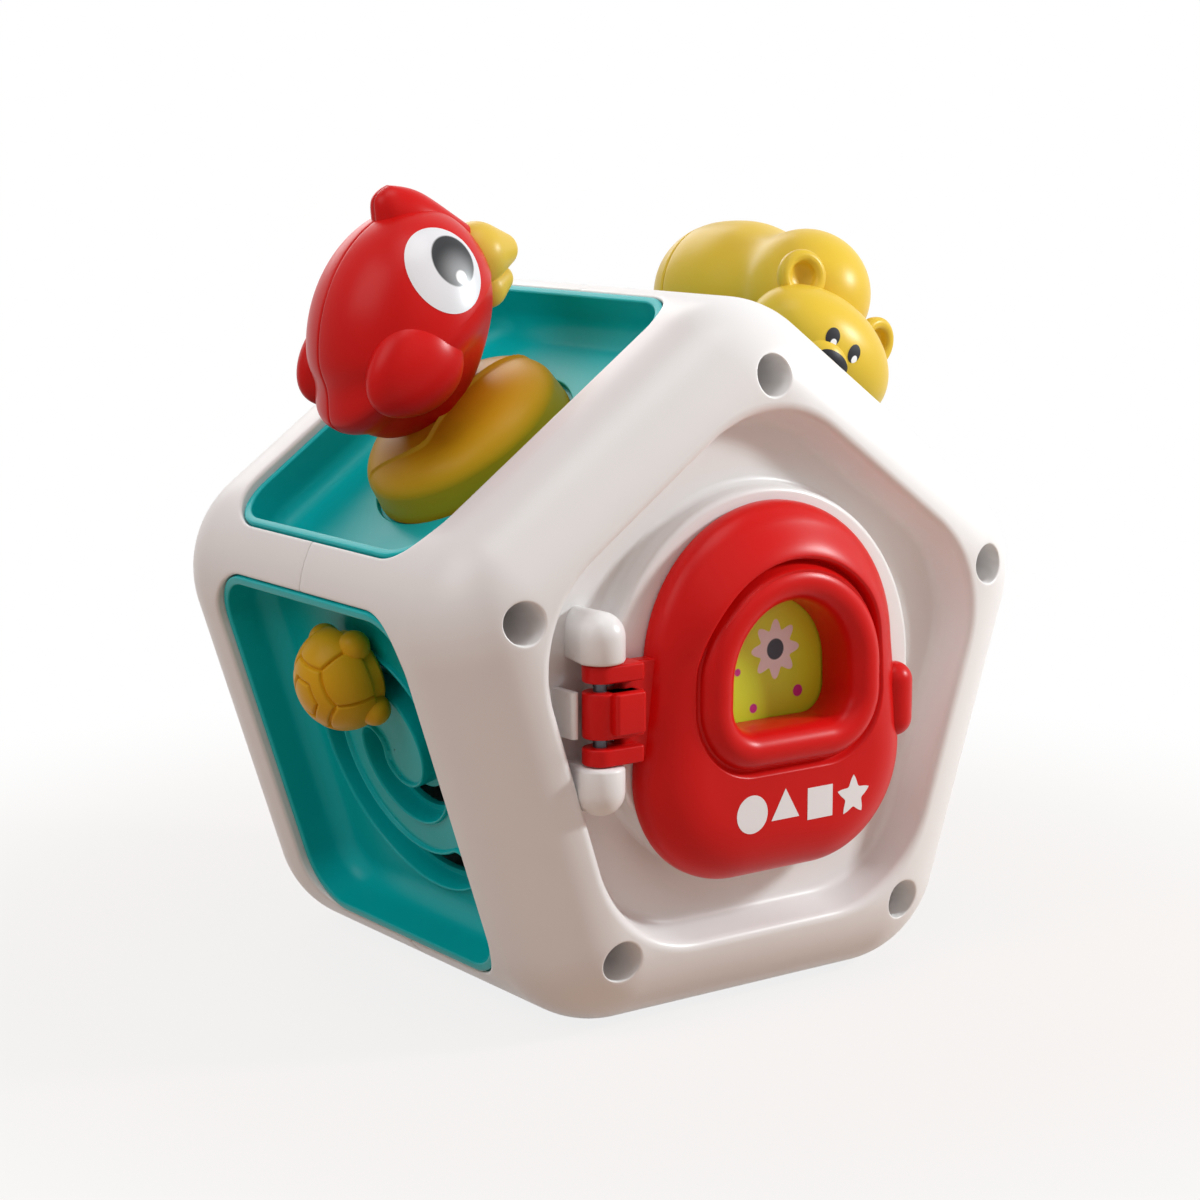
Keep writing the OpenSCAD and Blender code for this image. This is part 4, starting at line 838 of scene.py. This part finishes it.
def bird_reach(around, lift):
    """Distance of the bird's skin from its middle: a tilted egg with a flared and cut tail, drawn in on both
    flanks under its belly. The first angle runs round the seam from +X towards +Z, the second lifts out of
    the seam's plane."""
    long_part = np.cos(around - BIRD_TILT) * np.cos(lift)
    egg = 1 / np.sqrt((long_part / BIRD_LONG) ** 2 + (1 - long_part ** 2) / BIRD_ROUND ** 2)
    turn = np.degrees(around) % 360
    cut = TAIL_CUT * smooth(turn, *CUT_FROM) * (1 - smooth(turn, *CUT_TO))
    tail = bell(turn, *TAIL_FLARE) + bell(turn, *TAIL_WAIST) - cut
    return egg + tail * np.cos(lift) ** 2 + bell(turn, *BELLY) * np.sin(2 * lift) ** 2


def bird_half(side):
    """One half shell: rows lift from the seam's rounded edge to the pole on its side."""
    around = np.linspace(0, 2 * np.pi, 241)
    lift, sink = np.concatenate([BIRD_SEAM, spread(np.linspace(2, 90, 60), 0)]).T[..., None]
    lift = np.radians(lift)
    way = spread(np.cos(around) * np.cos(lift), side * np.sin(lift), np.sin(around) * np.cos(lift))
    grid = BIRD_MID + (bird_reach(around, lift) - sink)[..., None] * way
    inner = grid[0] - (grid[0] - BIRD_MID) * [BIRD_WALL, 0, BIRD_WALL]
    return np.concatenate([inner[None], grid])


def crest_half(side):
    """Half of the crest: half ovals stacked up a fin. Its rear edge stands steep, its front edge slopes back,
    and both run together in a round tip as powers of the height."""
    along = np.array([np.cos(CREST_LEAN), 0, np.sin(CREST_LEAN)])
    up = np.array([-along[2], 0, along[0]])
    turn = np.linspace(0, np.pi, 65)
    groove = CREST_GROOVE * (np.sin(turn) < 0.05)
    rise = CREST_UP * np.sin(np.linspace(0.04, np.pi / 2, 40))
    rows = []
    for height in np.concatenate([np.linspace(-CREST_DOWN, 0, 6), rise]):
        part = max(height / CREST_UP, 0)
        rear = CREST_REAR + (CREST_TIP - CREST_REAR) * part ** CREST_REAR_BEND
        pull = CREST_TIP - CREST_FRONT + CREST_SLOPE * CREST_UP
        front = CREST_FRONT - CREST_SLOPE * height + pull * part ** CREST_FRONT_BEND
        width = CREST_HALF_W * np.sqrt(1 - part ** CREST_THIN) * np.sin(turn) ** CREST_OVAL
        place = (front + rear) / 2 + ((front - rear) / 2 - groove) * np.cos(turn)
        out = spread(0, side * (CREST_GAP + width), 0)
        rows.append(CREST_MID + np.outer(place, along) + height * up + out)
    return np.stack(rows)


def ball(middle, half, rows=40, columns=64, taper=0.0):
    """An egg with its poles on X: half sizes along X, Y and Z, and thinner towards -X by the taper."""
    lift, turn = np.linspace(0, np.pi, rows)[:, None], np.linspace(0, 2 * np.pi, columns + 1)
    ring = np.sin(lift) * (1 + taper * np.cos(lift))
    return np.add(middle, spread(np.cos(lift), ring * np.cos(turn), ring * np.sin(turn)) * half)


def spindle(root, along, side, profile, count):
    """A profile of pairs, the way along an axis and the radius, turned about that axis."""
    turn = np.linspace(0, 2 * np.pi, count + 1)[:, None]
    out = np.cos(turn) * side + np.sin(turn) * np.cross(along, side)
    return np.stack([root + far * along + radius * out for far, radius in profile])


def drop(root, root_r, tip, tip_r):
    """A rounded cone between two balls, lathed about the line through their middles."""
    length = np.linalg.norm(tip - root)
    lean = np.pi / 2 + np.arcsin((root_r - tip_r) / length)
    near, far = (ray(np.linspace(*ends)) * [-1, 1] for ends in ((0, lean, 24), (lean, np.pi, 16)))
    profile = np.concatenate([root_r * near, tip_r * far + [length, 0]])
    return spindle(root, (tip - root) / length, np.array([0.0, 1.0, 0.0]), profile, 64)


def egg_side(x, z):
    """Distance of the egg's skin from the seam's plane at a place beside its middle."""
    x, z = x - BIRD_MID[0], z - BIRD_MID[2]
    long_part = x * np.cos(BIRD_TILT) + z * np.sin(BIRD_TILT)
    across = z * np.cos(BIRD_TILT) - x * np.sin(BIRD_TILT)
    return BIRD_ROUND * np.sqrt(1 - (long_part / BIRD_LONG) ** 2 - (across / BIRD_ROUND) ** 2)


def disc(rings, points):
    """A unit disc's points: rings from its middle out, each with the same number of points."""
    return np.linspace(0, 1, rings)[:, None, None] * ray(np.linspace(0, 2 * np.pi, points))


def bird_eye(side):
    """A printed disc that follows the egg, with UVs over the disc."""
    unit = disc(25, 73)
    x, z = np.moveaxis(EYE_R * unit + EYE_MID, -1, 0)
    return on_side(UPPER_LEFT, spread(x, side * (egg_side(x, z) + PRINT_GAP), z)), 0.5 + unit / 2


def over_print(tree):
    """A print's two UV coordinates, and a function that gives the distance from a place on it."""
    across = tree.node("SeparateXYZ", None, {0: tree.node("TexCoord", out="UV")})
    up = Shade(tree.tree, across.socket.node.outputs[1])
    return across, up, lambda x, y: ((across - x) ** 2 + (up - y) ** 2) ** 0.5


def eye_print_and_glint():
    """Print of the bird's eye over its disc's UVs: white, with a dark iris. A painted highlight sits on it: a
    white glint, with the iris paling towards it.
    """
    made, tree = material("eye_print_and_glint")
    _, _, away = over_print(tree)
    iris = away(*GLOW).step(*GLOW_SPAN).mix(IRIS_DARK, IRIS_PALE)
    colour = EYE_WHITE
    for (x, y, radius), paint in ((IRIS, iris), (GLINT, GLINT_WHITE)):
        colour = away(x, y).step(radius + EYE_EDGE, radius - EYE_EDGE).mix(colour, paint)
    return principled(made, tree, {"Base Color": colour, "Roughness": 0.28})


red = moulded("glossy_red", (0.63, 0.007, 0.006), rough=0.28, vary=0.04, shine=0.16)
beak_yellow = moulded("beak_yellow", (0.76, 0.52, 0.07), rough=0.32, vary=0.03)
printed_eye_and_glint = eye_print_and_glint()
# The eye's finish carries the print and a painted glint highlight
for name, side in (("front", -1), ("rear", 1)):
    wing = ball(WING_MID * [1, side, 1], WING_HALF, taper=WING_TAPER)
    half = stood(UPPER_LEFT, bird_half(side), crest_half(side), wing)
    piece("bird_%s_shell" % name, "bird", red, half, ["bird_%s_half" % name])
    piece("bird_%s_eye" % name, "bird", printed_eye_and_glint, [bird_eye(side)])
for name, ends, node in (("top", UPPER_BEAK, "bird_upper_beak"), ("under", LOWER_BEAK, "bird_lower_beak")):
    piece("bird_beak_" + name, "bird", beak_yellow, stood(UPPER_LEFT, drop(*ends)), [node])

# Bear
# A lemon yellow bear fixed to its bun: a body with a round lobe in front and a longer one behind that has a
# separate cap, and a wide head with cupped ears and a printed face that looks a little to one side, with a
# painted glint highlight in each eye.
BEAR_FRONT, BEAR_FRONT_R = np.array([0.0, -5.0, 26.0]), 15.8
BEAR_REAR, BEAR_REAR_R = np.array([0.0, 23.7, 24.4]), 18.2
BEAR_REAR_LONG, BEAR_BARREL = 21.5, 2.4
BEAR_CAP, CAP_EDGE, CAP_EDGE_W, CAP_GAP = 33.7, 0.6, 0.2, 0.16
BEAR_BLEND = 5
HEAD_MID, HEAD_HALF = np.array([0.0, -21.0, 10.0]), np.array([21.0, 13.6, 14.0])
FACE_X = -4.6
MUZZLE_MID, MUZZLE_HALF = np.array([FACE_X, -27.6, 6.3]), np.array([8.4, 7.6, 6.2])
EAR_MID, EAR_R, EAR_RIM, EAR_TURN = np.array([13.9, -18.0, 22.5]), 6.3, 1.5, np.radians(10)
EAR_FRONT, EAR_BACK = 1.8, 4.8
BEAR_EYE_GAP, BEAR_EYE_Z, BEAR_EYE_HALF = 3.5, 10.6, (1.75, 2.3)
NOSE_Z, NOSE_HALF = 5.6, (4.9, 2.4)
# Painted highlight in the bear's eyes: a white glint, as its place over the print's UVs, its radius and its
# soft edge
BEAR_GLINT, BEAR_GLINT_R, BEAR_GLINT_EDGE = (0.72, 0.25), 0.24, 0.04
PRINT_DARK = (0.018, 0.017, 0.020)


def bear_lobes(start, end):
    """The bear's body lathed about the line through its lobes' middles, between two places on that line. The
    radius is a smooth maximum of a ball's radius in front and a longer, barrel-like ball's behind. A cut end
    has a small rounded edge, and an end at infinity isn't cut."""
    gap = BEAR_REAR - BEAR_FRONT
    length = np.linalg.norm(gap)
    low, high = max(start, -BEAR_FRONT_R), min(end, length + BEAR_REAR_R)
    place = low + (high - low) * (1 - np.cos(np.linspace(0, np.pi, 90))) / 2
    first = np.sqrt(np.maximum(BEAR_FRONT_R ** 2 - place ** 2, 0))
    far = np.abs(place - length - BEAR_REAR_R + BEAR_REAR_LONG) / BEAR_REAR_LONG
    second = BEAR_REAR_R * np.maximum(1 - far ** BEAR_BARREL, 0) ** (1 / BEAR_BARREL)
    radius = (first ** BEAR_BLEND + second ** BEAR_BLEND) ** (1 / BEAR_BLEND)
    radius -= CAP_EDGE * (np.exp((start - place) / CAP_EDGE_W) + np.exp((place - end) / CAP_EDGE_W))
    profile = spread(np.pad(place, 1, "edge"), np.pad(np.maximum(radius, 0), 1))
    return spindle(BEAR_FRONT, gap / length, np.array([1.0, 0.0, 0.0]), profile, 128)


def ear(side):
    """A cupped ear: a lathed bowl with a fat round rim, its axis turned outwards from the front."""
    turn, rim = np.linspace(0, np.pi / 2, 12), np.linspace(0, np.pi, 14)[1:]
    bowl = lathe(np.concatenate([
        spread(EAR_R * np.sin(turn), EAR_FRONT - EAR_BACK * np.cos(turn)),
        spread(EAR_R - EAR_RIM + EAR_RIM * np.cos(rim), EAR_FRONT + EAR_RIM * np.sin(rim)),
        spread((EAR_R - 2 * EAR_RIM) * np.cos(turn[1:]), EAR_FRONT - EAR_RIM * np.sin(turn[1:]))]), 56)
    across = np.array([np.cos(EAR_TURN), side * np.sin(EAR_TURN), 0])
    ahead = np.array([side * np.sin(EAR_TURN), -np.cos(EAR_TURN), 0])
    return EAR_MID * [side, 1, 1] + bowl @ np.stack([across, [0, 0, 1], ahead])


def egg_print(middle, half, centre, size):
    """A small printed oval that follows the front of an egg, with UVs over the oval."""
    unit = disc(9, 41)
    x, z = np.moveaxis(unit * size + centre, -1, 0)
    deep = half[1] * np.sqrt(1 - ((x - middle[0]) / half[0]) ** 2 - ((z - middle[2]) / half[2]) ** 2)
    return on_side(UPPER_RIGHT, spread(x, middle[1] - deep - PRINT_GAP, z)), 0.5 + unit / 2


def dark_print_and_glint(name, glint):
    """Dark print, with a painted highlight, a white glint low on one side, where there is one."""
    made, tree = material(name)
    _, _, away = over_print(tree)
    colour = away(*BEAR_GLINT).step(glint, glint - BEAR_GLINT_EDGE).mix(PRINT_DARK, GLINT_WHITE)
    return principled(made, tree, {"Base Color": colour, "Roughness": 0.45, "Specular IOR Level": 0.2})


head = [ball(HEAD_MID, HEAD_HALF, 60, 90), ball(MUZZLE_MID, MUZZLE_HALF), ear(1), ear(-1)]
for name, grids, node in (("bear_lobes", [bear_lobes(-np.inf, BEAR_CAP - CAP_GAP)], "bear_body"),
                          ("bear_cap", [bear_lobes(BEAR_CAP + CAP_GAP, np.inf)], "bear_rear_cap"),
                          ("bear_face", head, "bear_head")):
    piece(name, "bear", lemon, stood(UPPER_RIGHT, *grids), [node])
eyes = [egg_print(HEAD_MID, HEAD_HALF, (FACE_X + gap, BEAR_EYE_Z), BEAR_EYE_HALF)
        for gap in (-BEAR_EYE_GAP, BEAR_EYE_GAP)]
nose = [egg_print(MUZZLE_MID, MUZZLE_HALF, (FACE_X, NOSE_Z), NOSE_HALF)]
# The eyes' print carries a painted glint highlight; the nose has none
piece("bear_eyes", "bear", dark_print_and_glint("bear_eye_glint_print", BEAR_GLINT_R), eyes)
piece("bear_nose", "bear", dark_print_and_glint("bear_nose_print", 0.0), nose)

# Turtle
# An ochre turtle whose stem runs in the spiral groove: a domed shell with engraved plates, and a belly with
# four stubby feet and a head.
TURTLE_TURN = np.radians(272)
TURTLE_HALF, TURTLE_WAIST, TURTLE_TOP, TURTLE_RIM = (12.0, 10.5), -7.8, 4.5, 1.5
TURTLE_BASE, TURTLE_BASE_R, TURTLE_BASE_EDGE = -11.8, 9.5, 0.9
# The shell's lower edge, as a share of its plan and the height over the waist
TURTLE_EDGE = [(1.0, 0.5), (0.985, 0.12), (0.95, 0), (0, 0)]
FOOT_PLACE, FOOT_R, FOOT_Z = (7.7, 6.5), 3.6, -8.2
TURTLE_HEAD, TURTLE_HEAD_R = np.array([0.0, 12.5, -7.6]), 4.2
PLATE_IN, PLATE_OUT, PLATE_TURN = 0.40, 0.74, 12
LINE_END, LINE_HALF, LINE_DEPTH = 1.02, 0.026, 0.8


def on_spiral(p):
    """Stands points of the turtle, which faces +Y, on the spiral at its resting place."""
    middle = spiral_at(TURTLE_TURN, SPIRAL_R + SPIRAL_PITCH * TURTLE_TURN)
    c, s = np.cos(TURTLE_TURN + np.pi / 2), np.sin(TURTLE_TURN + np.pi / 2)
    x, y = p[..., 0], p[..., 1]
    return on_side(LOWER_LEFT, spread(middle[0] + c * x - s * y, middle[1] + s * x + c * y, p[..., 2]))


def from_line(p, start, end):
    """Distance of points from a straight line between two points."""
    way = end - start
    part = np.clip((p - start) @ way / (way @ way), 0, 1)
    return np.linalg.norm(p - start - part[..., None] * way, axis=-1)


def turtle_dome():
    """An oval dome on a short upright rim. Grooves follow a small hexagon, a large hexagon and a line from
    each corner of the large one to the rim, all drawn on the unit circle of the dome's plan."""
    ring = np.sin(np.linspace(0, np.pi / 2, 90))[:, None]
    plan = ring[..., None] * ray(np.linspace(0, 2 * np.pi, 281))
    corner = ray(np.radians(np.arange(0, 361, 60) + PLATE_TURN))
    lines = [(size * a, size * b) for size in (PLATE_IN, PLATE_OUT) for a, b in zip(corner, corner[1:])]
    lines += [(PLATE_OUT * a, LINE_END * a) for a in corner[:-1]]
    away = np.min([from_line(plan, *line) for line in lines], 0)
    sink = LINE_DEPTH * np.exp(-(away / LINE_HALF) ** 2)
    lift, foot_z = np.sqrt(np.maximum(1 - ring ** 2, 0)), TURTLE_WAIST + TURTLE_RIM
    grid = raised(plan * TURTLE_HALF, foot_z + lift * (TURTLE_TOP - foot_z))
    grid = grid - sink[..., None] * raised(plan, lift)
    foot = [raised(grid[-1, :, :2] * share, TURTLE_WAIST + up) for share, up in TURTLE_EDGE]
    return np.concatenate([grid, np.stack(foot)])


belly = [lathe([(0, TURTLE_BASE), (TURTLE_BASE_R - TURTLE_BASE_EDGE, TURTLE_BASE),
                (TURTLE_BASE_R, TURTLE_BASE + TURTLE_BASE_EDGE), (TURTLE_BASE_R, TURTLE_WAIST)], 64)]
belly += [ball((x * FOOT_PLACE[0], y * FOOT_PLACE[1], FOOT_Z), (FOOT_R,) * 3, 20, 32)
          for x in (1, -1) for y in (1, -1)]
belly += [ball(TURTLE_HEAD, (TURTLE_HEAD_R,) * 3, 24, 40)]
piece("turtle_dome", "turtle", ochre, [on_spiral(turtle_dome())], ["turtle_shell"])
piece("turtle_body", "turtle", ochre, [on_spiral(grid) for grid in belly], ["turtle_belly"])

# Door
# A hollow red door with a pillowed front, a fat ring in a narrow moat round its opening and a brow above the
# ring. Three arms on its left turn on the hinge pin, and a finger pull stands out on its right.
DOOR_BACK, DOOR_SIDE, DOOR_FRONT, DOOR_PILLOW = -3.2, -1.6, 6.5, 13.0
DOOR_CIRCLES = [(0, 7.6, 33.2), (-11, -16, 25), (11, -16, 25)]
OPENING = [(0.4, 3.6, 16.2), (-9.6, -1.2, 6.3), (10.4, -1.2, 6.3)]
OPENING_MID = (0, 3)
RING_W, RING_TOP, RING_FOOT = 8.5, 8.9, 4.2
MOAT_DEPTH, MOAT_W = 1.3, 1.7
BROW_H, BROW_NEAR, BROW_FAR, BROW_EDGE, BROW_RISE = 1.9, 0.7, 8.5, 0.3, (6, 22)
RIM_INSET, DOOR_WALL, DOOR_TURN = 3.0, 2.0, 0.6
# Points of an arc and of a straight run, on the door's rows and on the outlines that heights go by
DOOR_COUNTS, FINE_COUNTS = (48, 24), (90, 60)
# Ways out from the ring's outer edge where the panel's rows change their step
PANEL_MARKS = (2.6, 0.3, -3.0)
# Profiles, as ways in and heights: the door's edge, the sleeve under its ring and its hollow's wall
EDGE_FOOT = [(DOOR_TURN, DOOR_BACK), (DOOR_TURN * 0.3, DOOR_BACK + DOOR_TURN * 0.3),
             (0, DOOR_BACK + DOOR_TURN)]
SLEEVE = [(0.15, RING_FOOT - 2), (0.2, DOOR_BACK + 0.4), (0.0, DOOR_BACK), (-DOOR_WALL, DOOR_BACK)]
HOLLOW = [(DOOR_TURN, DOOR_BACK), (DOOR_WALL, DOOR_BACK), (DOOR_WALL + 0.4, DOOR_SIDE), (DOOR_WALL + 4, 3.0)]
PULL_MID, PULL_R, PULL_HALF = np.array([34.0, -6.5, 0.9]), 4.3, 8.5
ARM_EYE_R, ARM_TOP, ARM_RIGHT, ARM_ROUND, ARM_FOOT_R, ARM_TOP_R = 3.8, 3.5, -38.0, 0.5, 1.0, 0.8
MIDDLE_ARM, OUTER_ARM = (-4.9, 4.9), (6.9, 10.6)
PLATE = {"x": (-45.6, -38.0), "y": (-3.9, 4.9), "z": (-1.0, 5.2)}
LEAF = {"x": (-41.0, -30.0), "y": (-10.4, 10.4), "z": (-2.9, 0.6)}


def grown(circles, by, *counts):
    """An outline stretched round circles that are all made larger."""
    return stretched(np.add(circles, (0, 0, by)), *counts)


def from_outline(p, outline):
    """Distance of rows of points from the nearest straight piece of an outline."""
    start, way = outline[0][:-1], np.diff(outline[0], axis=0)
    size = np.maximum((way ** 2).sum(1), 1e-12)
    rows = []
    for row in p:
        gap = row[:, None] - start
        part = np.clip((gap * way).sum(-1) / size, 0, 1)
        rows.append(np.linalg.norm(gap - part[..., None] * way, axis=-1).min(1))
    return np.stack(rows)


def pillow(inset):
    """Height of the door's front at a way in from its edge: a quarter ellipse, then flat."""
    return DOOR_SIDE + (DOOR_FRONT - DOOR_SIDE) * np.sqrt(1 - (1 - np.clip(inset / DOOR_PILLOW, 0, 1)) ** 2)


def brow(p):
    """Height that the brow adds: it swells towards the top of the ring and drops off just before it. A narrow
    moat all round sets the ring off."""
    gap = from_outline(p, grown(OPENING, RING_W, *FINE_COUNTS))
    over = smooth(gap, BROW_NEAR - BROW_EDGE, BROW_NEAR + BROW_EDGE)
    over = over * (1 - smooth(gap, BROW_NEAR + BROW_EDGE, BROW_FAR))
    return BROW_H * smooth(p[..., 1], *BROW_RISE) * over - MOAT_DEPTH * (1 - smooth(gap, 0, MOAT_W))


def door_height(p):
    """Height of the door's front over points of its plan: the pillow and the brow."""
    return pillow(from_outline(p, stretched(DOOR_CIRCLES, *FINE_COUNTS))) + brow(p)


def door_panel():
    """The door's front: round the back edge, over the rim at exact ways in from the outline, then rows of its
    plan to below the ring, each at the door's height."""
    ways = RIM_INSET * (1 - np.cos(np.linspace(0, np.pi / 2, 26)))
    rim = carried(stretched(DOOR_CIRCLES, *DOOR_COUNTS), EDGE_FOOT + [(way, pillow(way)) for way in ways])
    rim[..., 2] += brow(rim[..., :2])
    marks = [rim[-1, :, :2]]
    marks += [facing(grown(OPENING, RING_W + by), OPENING_MID, marks[0]) for by in PANEL_MARKS]
    plan = np.concatenate([drawn_in(near, far, np.linspace(0, 1, count)[1:])
                           for near, far, count in zip(marks, marks[1:], (30, 26, 3))])
    return np.concatenate([rim, raised(plan, door_height(plan))])


def door_ring():
    """The ring round the opening: half an ellipse carried round, then the sleeve down to the back."""
    turn, half = np.linspace(np.pi, 0, 28), RING_W / 2
    ring = spread(-half + half * np.cos(turn), RING_FOOT + (RING_TOP - RING_FOOT) * np.sin(turn))
    return carried(stretched(OPENING, 40, 20), [*ring, *SLEEVE])


def door_hollow():
    """The door's hollow back between its edge and the sleeve round the opening."""
    outline = stretched(DOOR_CIRCLES, *DOOR_COUNTS)
    wall = carried(outline, HOLLOW)
    sleeve = facing(grown(OPENING, DOOR_WALL), OPENING_MID, outline[0])
    top = drawn_in(wall[-1], raised(sleeve, DOOR_FRONT - DOOR_WALL), (0.5, 1))
    return np.concatenate([wall, top, raised(sleeve, DOOR_BACK)[None]])


def slab(outline, low, high, edge):
    """An outline given in X and Z, drawn out along Y between two places, with rounded edges and closed
    ends."""
    near = quarter(edge, 5) + [0, low]
    profile = np.concatenate([near, near[::-1] * [1, -1] + [0, low + high]])
    rows = carried(outline, profile)[..., [0, 2, 1]]
    x, z = outline[0][:-1].mean(0)
    ends = [np.broadcast_to(spread(x, place, z), rows[:1].shape) for place in (low, high)]
    return np.concatenate([ends[0], rows, ends[1]])


def capsule(middle, radius, half):
    """A round bar along Y with round ends."""
    near = quarter(radius, 14) * [-1, 1] + [radius, -half]
    return middle + lathe(np.concatenate([near, near[::-1] * [1, -1]]), 48)[..., [0, 2, 1]]


arm = stretched([(HINGE_X, HINGE_Z, ARM_EYE_R), (ARM_RIGHT, DOOR_BACK + ARM_FOOT_R, ARM_FOOT_R),
                 (ARM_RIGHT, ARM_TOP - ARM_TOP_R, ARM_TOP_R)], 20, 6)
arms = [slab(arm, *run, ARM_ROUND) for run in (MIDDLE_ARM, OUTER_ARM, (-OUTER_ARM[1], -OUTER_ARM[0]))]
for block in (PLATE, LEAF):
    middle = np.mean([block["x"], block["z"]], 1)
    half = np.ptp([block["x"], block["z"]], axis=1) / 2
    arms.append(slab(rounded_rect(*half, ARM_TOP_R, middle, 4), *block["y"], ARM_ROUND))
pull = capsule(PULL_MID, PULL_R, PULL_HALF)
piece("door_shell", "door", red,
      [on_front(grid) for grid in [door_panel(), door_ring(), door_hollow(), pull] + arms], ["door"])

# Prints on the door
# Four plain white shapes printed in a row under the ring: a disc, a triangle, a square and a star.
PRINT_Y, PRINT_R = -25.4, 4.5
PRINT_X = (-10.8, -1.6, 8.2, 17.8)
DISC_SHARE, SQUARE_SHARE, STAR_OUT, STAR_IN = 0.94, 1.12, 1.06, 0.50


def door_print(x, turn, share):
    """A printed shape on the door. Its outline's distance from its middle is given for angles from its
    top."""
    ring = np.linspace(0, 1, 14)[:, None, None]
    plan = ring * (PRINT_R * share)[:, None] * ray(turn)[:, ::-1] + [x, PRINT_Y]
    return on_front(raised(plan, door_height(plan) + PRINT_GAP))


def polygon_share(sides, turn):
    """Distance from the middle to the edge of a regular polygon with its first corner at angle 0."""
    step = 2 * np.pi / sides
    off = np.abs((turn + step / 2) % step - step / 2)
    return np.cos(step / 2) / np.cos(step / 2 - off)


def star_share(turn):
    """Distance from the middle to the edge of a five-pointed star with round points."""
    off = np.abs((turn + np.pi / 5) % (2 * np.pi / 5) - np.pi / 5) / (np.pi / 5)
    return STAR_OUT - STAR_IN * np.sin(off * np.pi / 2)


white_print = moulded("white_print", (0.86, 0.86, 0.88), rough=0.35, vary=0.01)
turn = np.linspace(0, 2 * np.pi, 121)
shares = [np.full(turn.shape, DISC_SHARE), polygon_share(3, turn),
          SQUARE_SHARE * polygon_share(4, turn + np.pi / 4), star_share(turn)]
prints = [door_print(x, turn, share) for x, share in zip(PRINT_X, shares)]
piece("door_prints", "door", white_print, prints)

# Picture card
# A printed card in the bed's pocket, seen through the door: lime with a white daisy and magenta spots.
CARD_TOP, CARD_EDGE = -3.7, 0.2
LIME_LOW, LIME_HIGH, LIME_SPAN = (0.58, 0.74, 0.015), (0.68, 0.84, 0.03), (0.2, 0.8)
DAISY, PETALS, PETAL_SWING, HEART_R = (0.57, 0.60, 0.115), 8.0, 0.022, 0.050
DAISY_WHITE, HEART_DARK, MAGENTA = (0.86, 0.84, 0.88), (0.02, 0.018, 0.03), (0.50, 0.01, 0.24)
PETAL_SOFT, SPOT_SOFT = 0.008, 0.006
SPOTS = [(0.70, 0.40, 0.030), (0.45, 0.35, 0.024), (0.60, 0.24, 0.020), (0.36, 0.52, 0.020)]


def picture_print():
    """Print over the card's UVs. A daisy's edge swings in and out as the cosine of eight times the angle."""
    made, tree = material("picture_print")
    across, up, away = over_print(tree)
    x, y, radius = DAISY
    petals = tree.math("COSINE", tree.math("ARCTAN2", up - y, across - x) * PETALS)
    daisy = (away(x, y) - petals * PETAL_SWING).step(radius, radius - PETAL_SOFT)
    colour = daisy.mix(up.step(*LIME_SPAN).mix(LIME_LOW, LIME_HIGH), DAISY_WHITE)
    colour = away(x, y).step(HEART_R, HEART_R - SPOT_SOFT).mix(colour, HEART_DARK)
    for x, y, radius in SPOTS:
        colour = away(x, y).step(radius, radius - SPOT_SOFT).mix(colour, MAGENTA)
    return principled(made, tree, {"Base Color": colour, "Roughness": 0.45})


card = carried(rounded_rect(CARD_HALF, CARD_HALF, CARD_R, CARD_CENTRE),
               [(CARD_EDGE, POCKET_FLOOR), (0, CARD_TOP - CARD_EDGE), (CARD_EDGE, CARD_TOP)])
card = np.concatenate([card, drawn_in(card[-1], spread(*CARD_CENTRE, CARD_TOP), (0.33, 0.66, 1))])
card_uv = (card[..., :2] - CARD_CENTRE) / (2 * CARD_HALF) + 0.5
piece("printed_card", "case", picture_print(), [(on_front(card), card_uv)], ["picture_card"])

# Screws, pin, mirror and hidden pieces
# Pieces whose CAD shape is right stay as they are and get a finish: plated screws, a near-black steel pin
# that is painted shade, a silvered mirror, the moulded gears and caps, and the white pieces under the maze.
SCRATCH_ROUGH = 0.15


def metal(name, colour, rough, scale):
    """Plated metal with fine scratches that vary its roughness."""
    made, tree = material(name)
    place = tree.node("TexCoord", out="Object")
    scratch = tree.node("TexNoise", None, {"Vector": place, "Scale": scale, "Detail": 4.0})
    return principled(made, tree, {"Base Color": (*colour, 1.0), "Metallic": 1.0,
                                   "Roughness": rough + SCRATCH_ROUGH * scratch})


steel = metal("zinc_plate", (0.62, 0.62, 0.63), 0.25, 900.0)
# The pin's near-black steel is painted shade: it darkens the gap between the hinge lugs and arms
pin_steel_painted_shade = metal("pin_steel_painted_shade", (0.09, 0.09, 0.10), 0.35, 900.0)
mirror_film = metal("mirror_film", (0.90, 0.92, 0.93), 0.0, 40.0)
inner_white = moulded("inner_white", (0.78, 0.78, 0.76), rough=0.40)
screws = ["case_screws", "bird_washer", "bird_screw", "bear_washer", "bear_screw", "maze_arm_screw"]
kept = {steel: screws, pin_steel_painted_shade: ["hinge_pin"], mirror_film: ["mirror"],
        ochre: ["mirror_ring", "gear_caps"], red: ["gear_a"], lemon: ["gear_b"], case_white: ["gear_c"],
        inner_white: ["turtle_retainer", "maze_arm"]}
for finish, names in kept.items():
    for name in names:
        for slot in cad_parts[name].material_slots:
            slot.material = finish
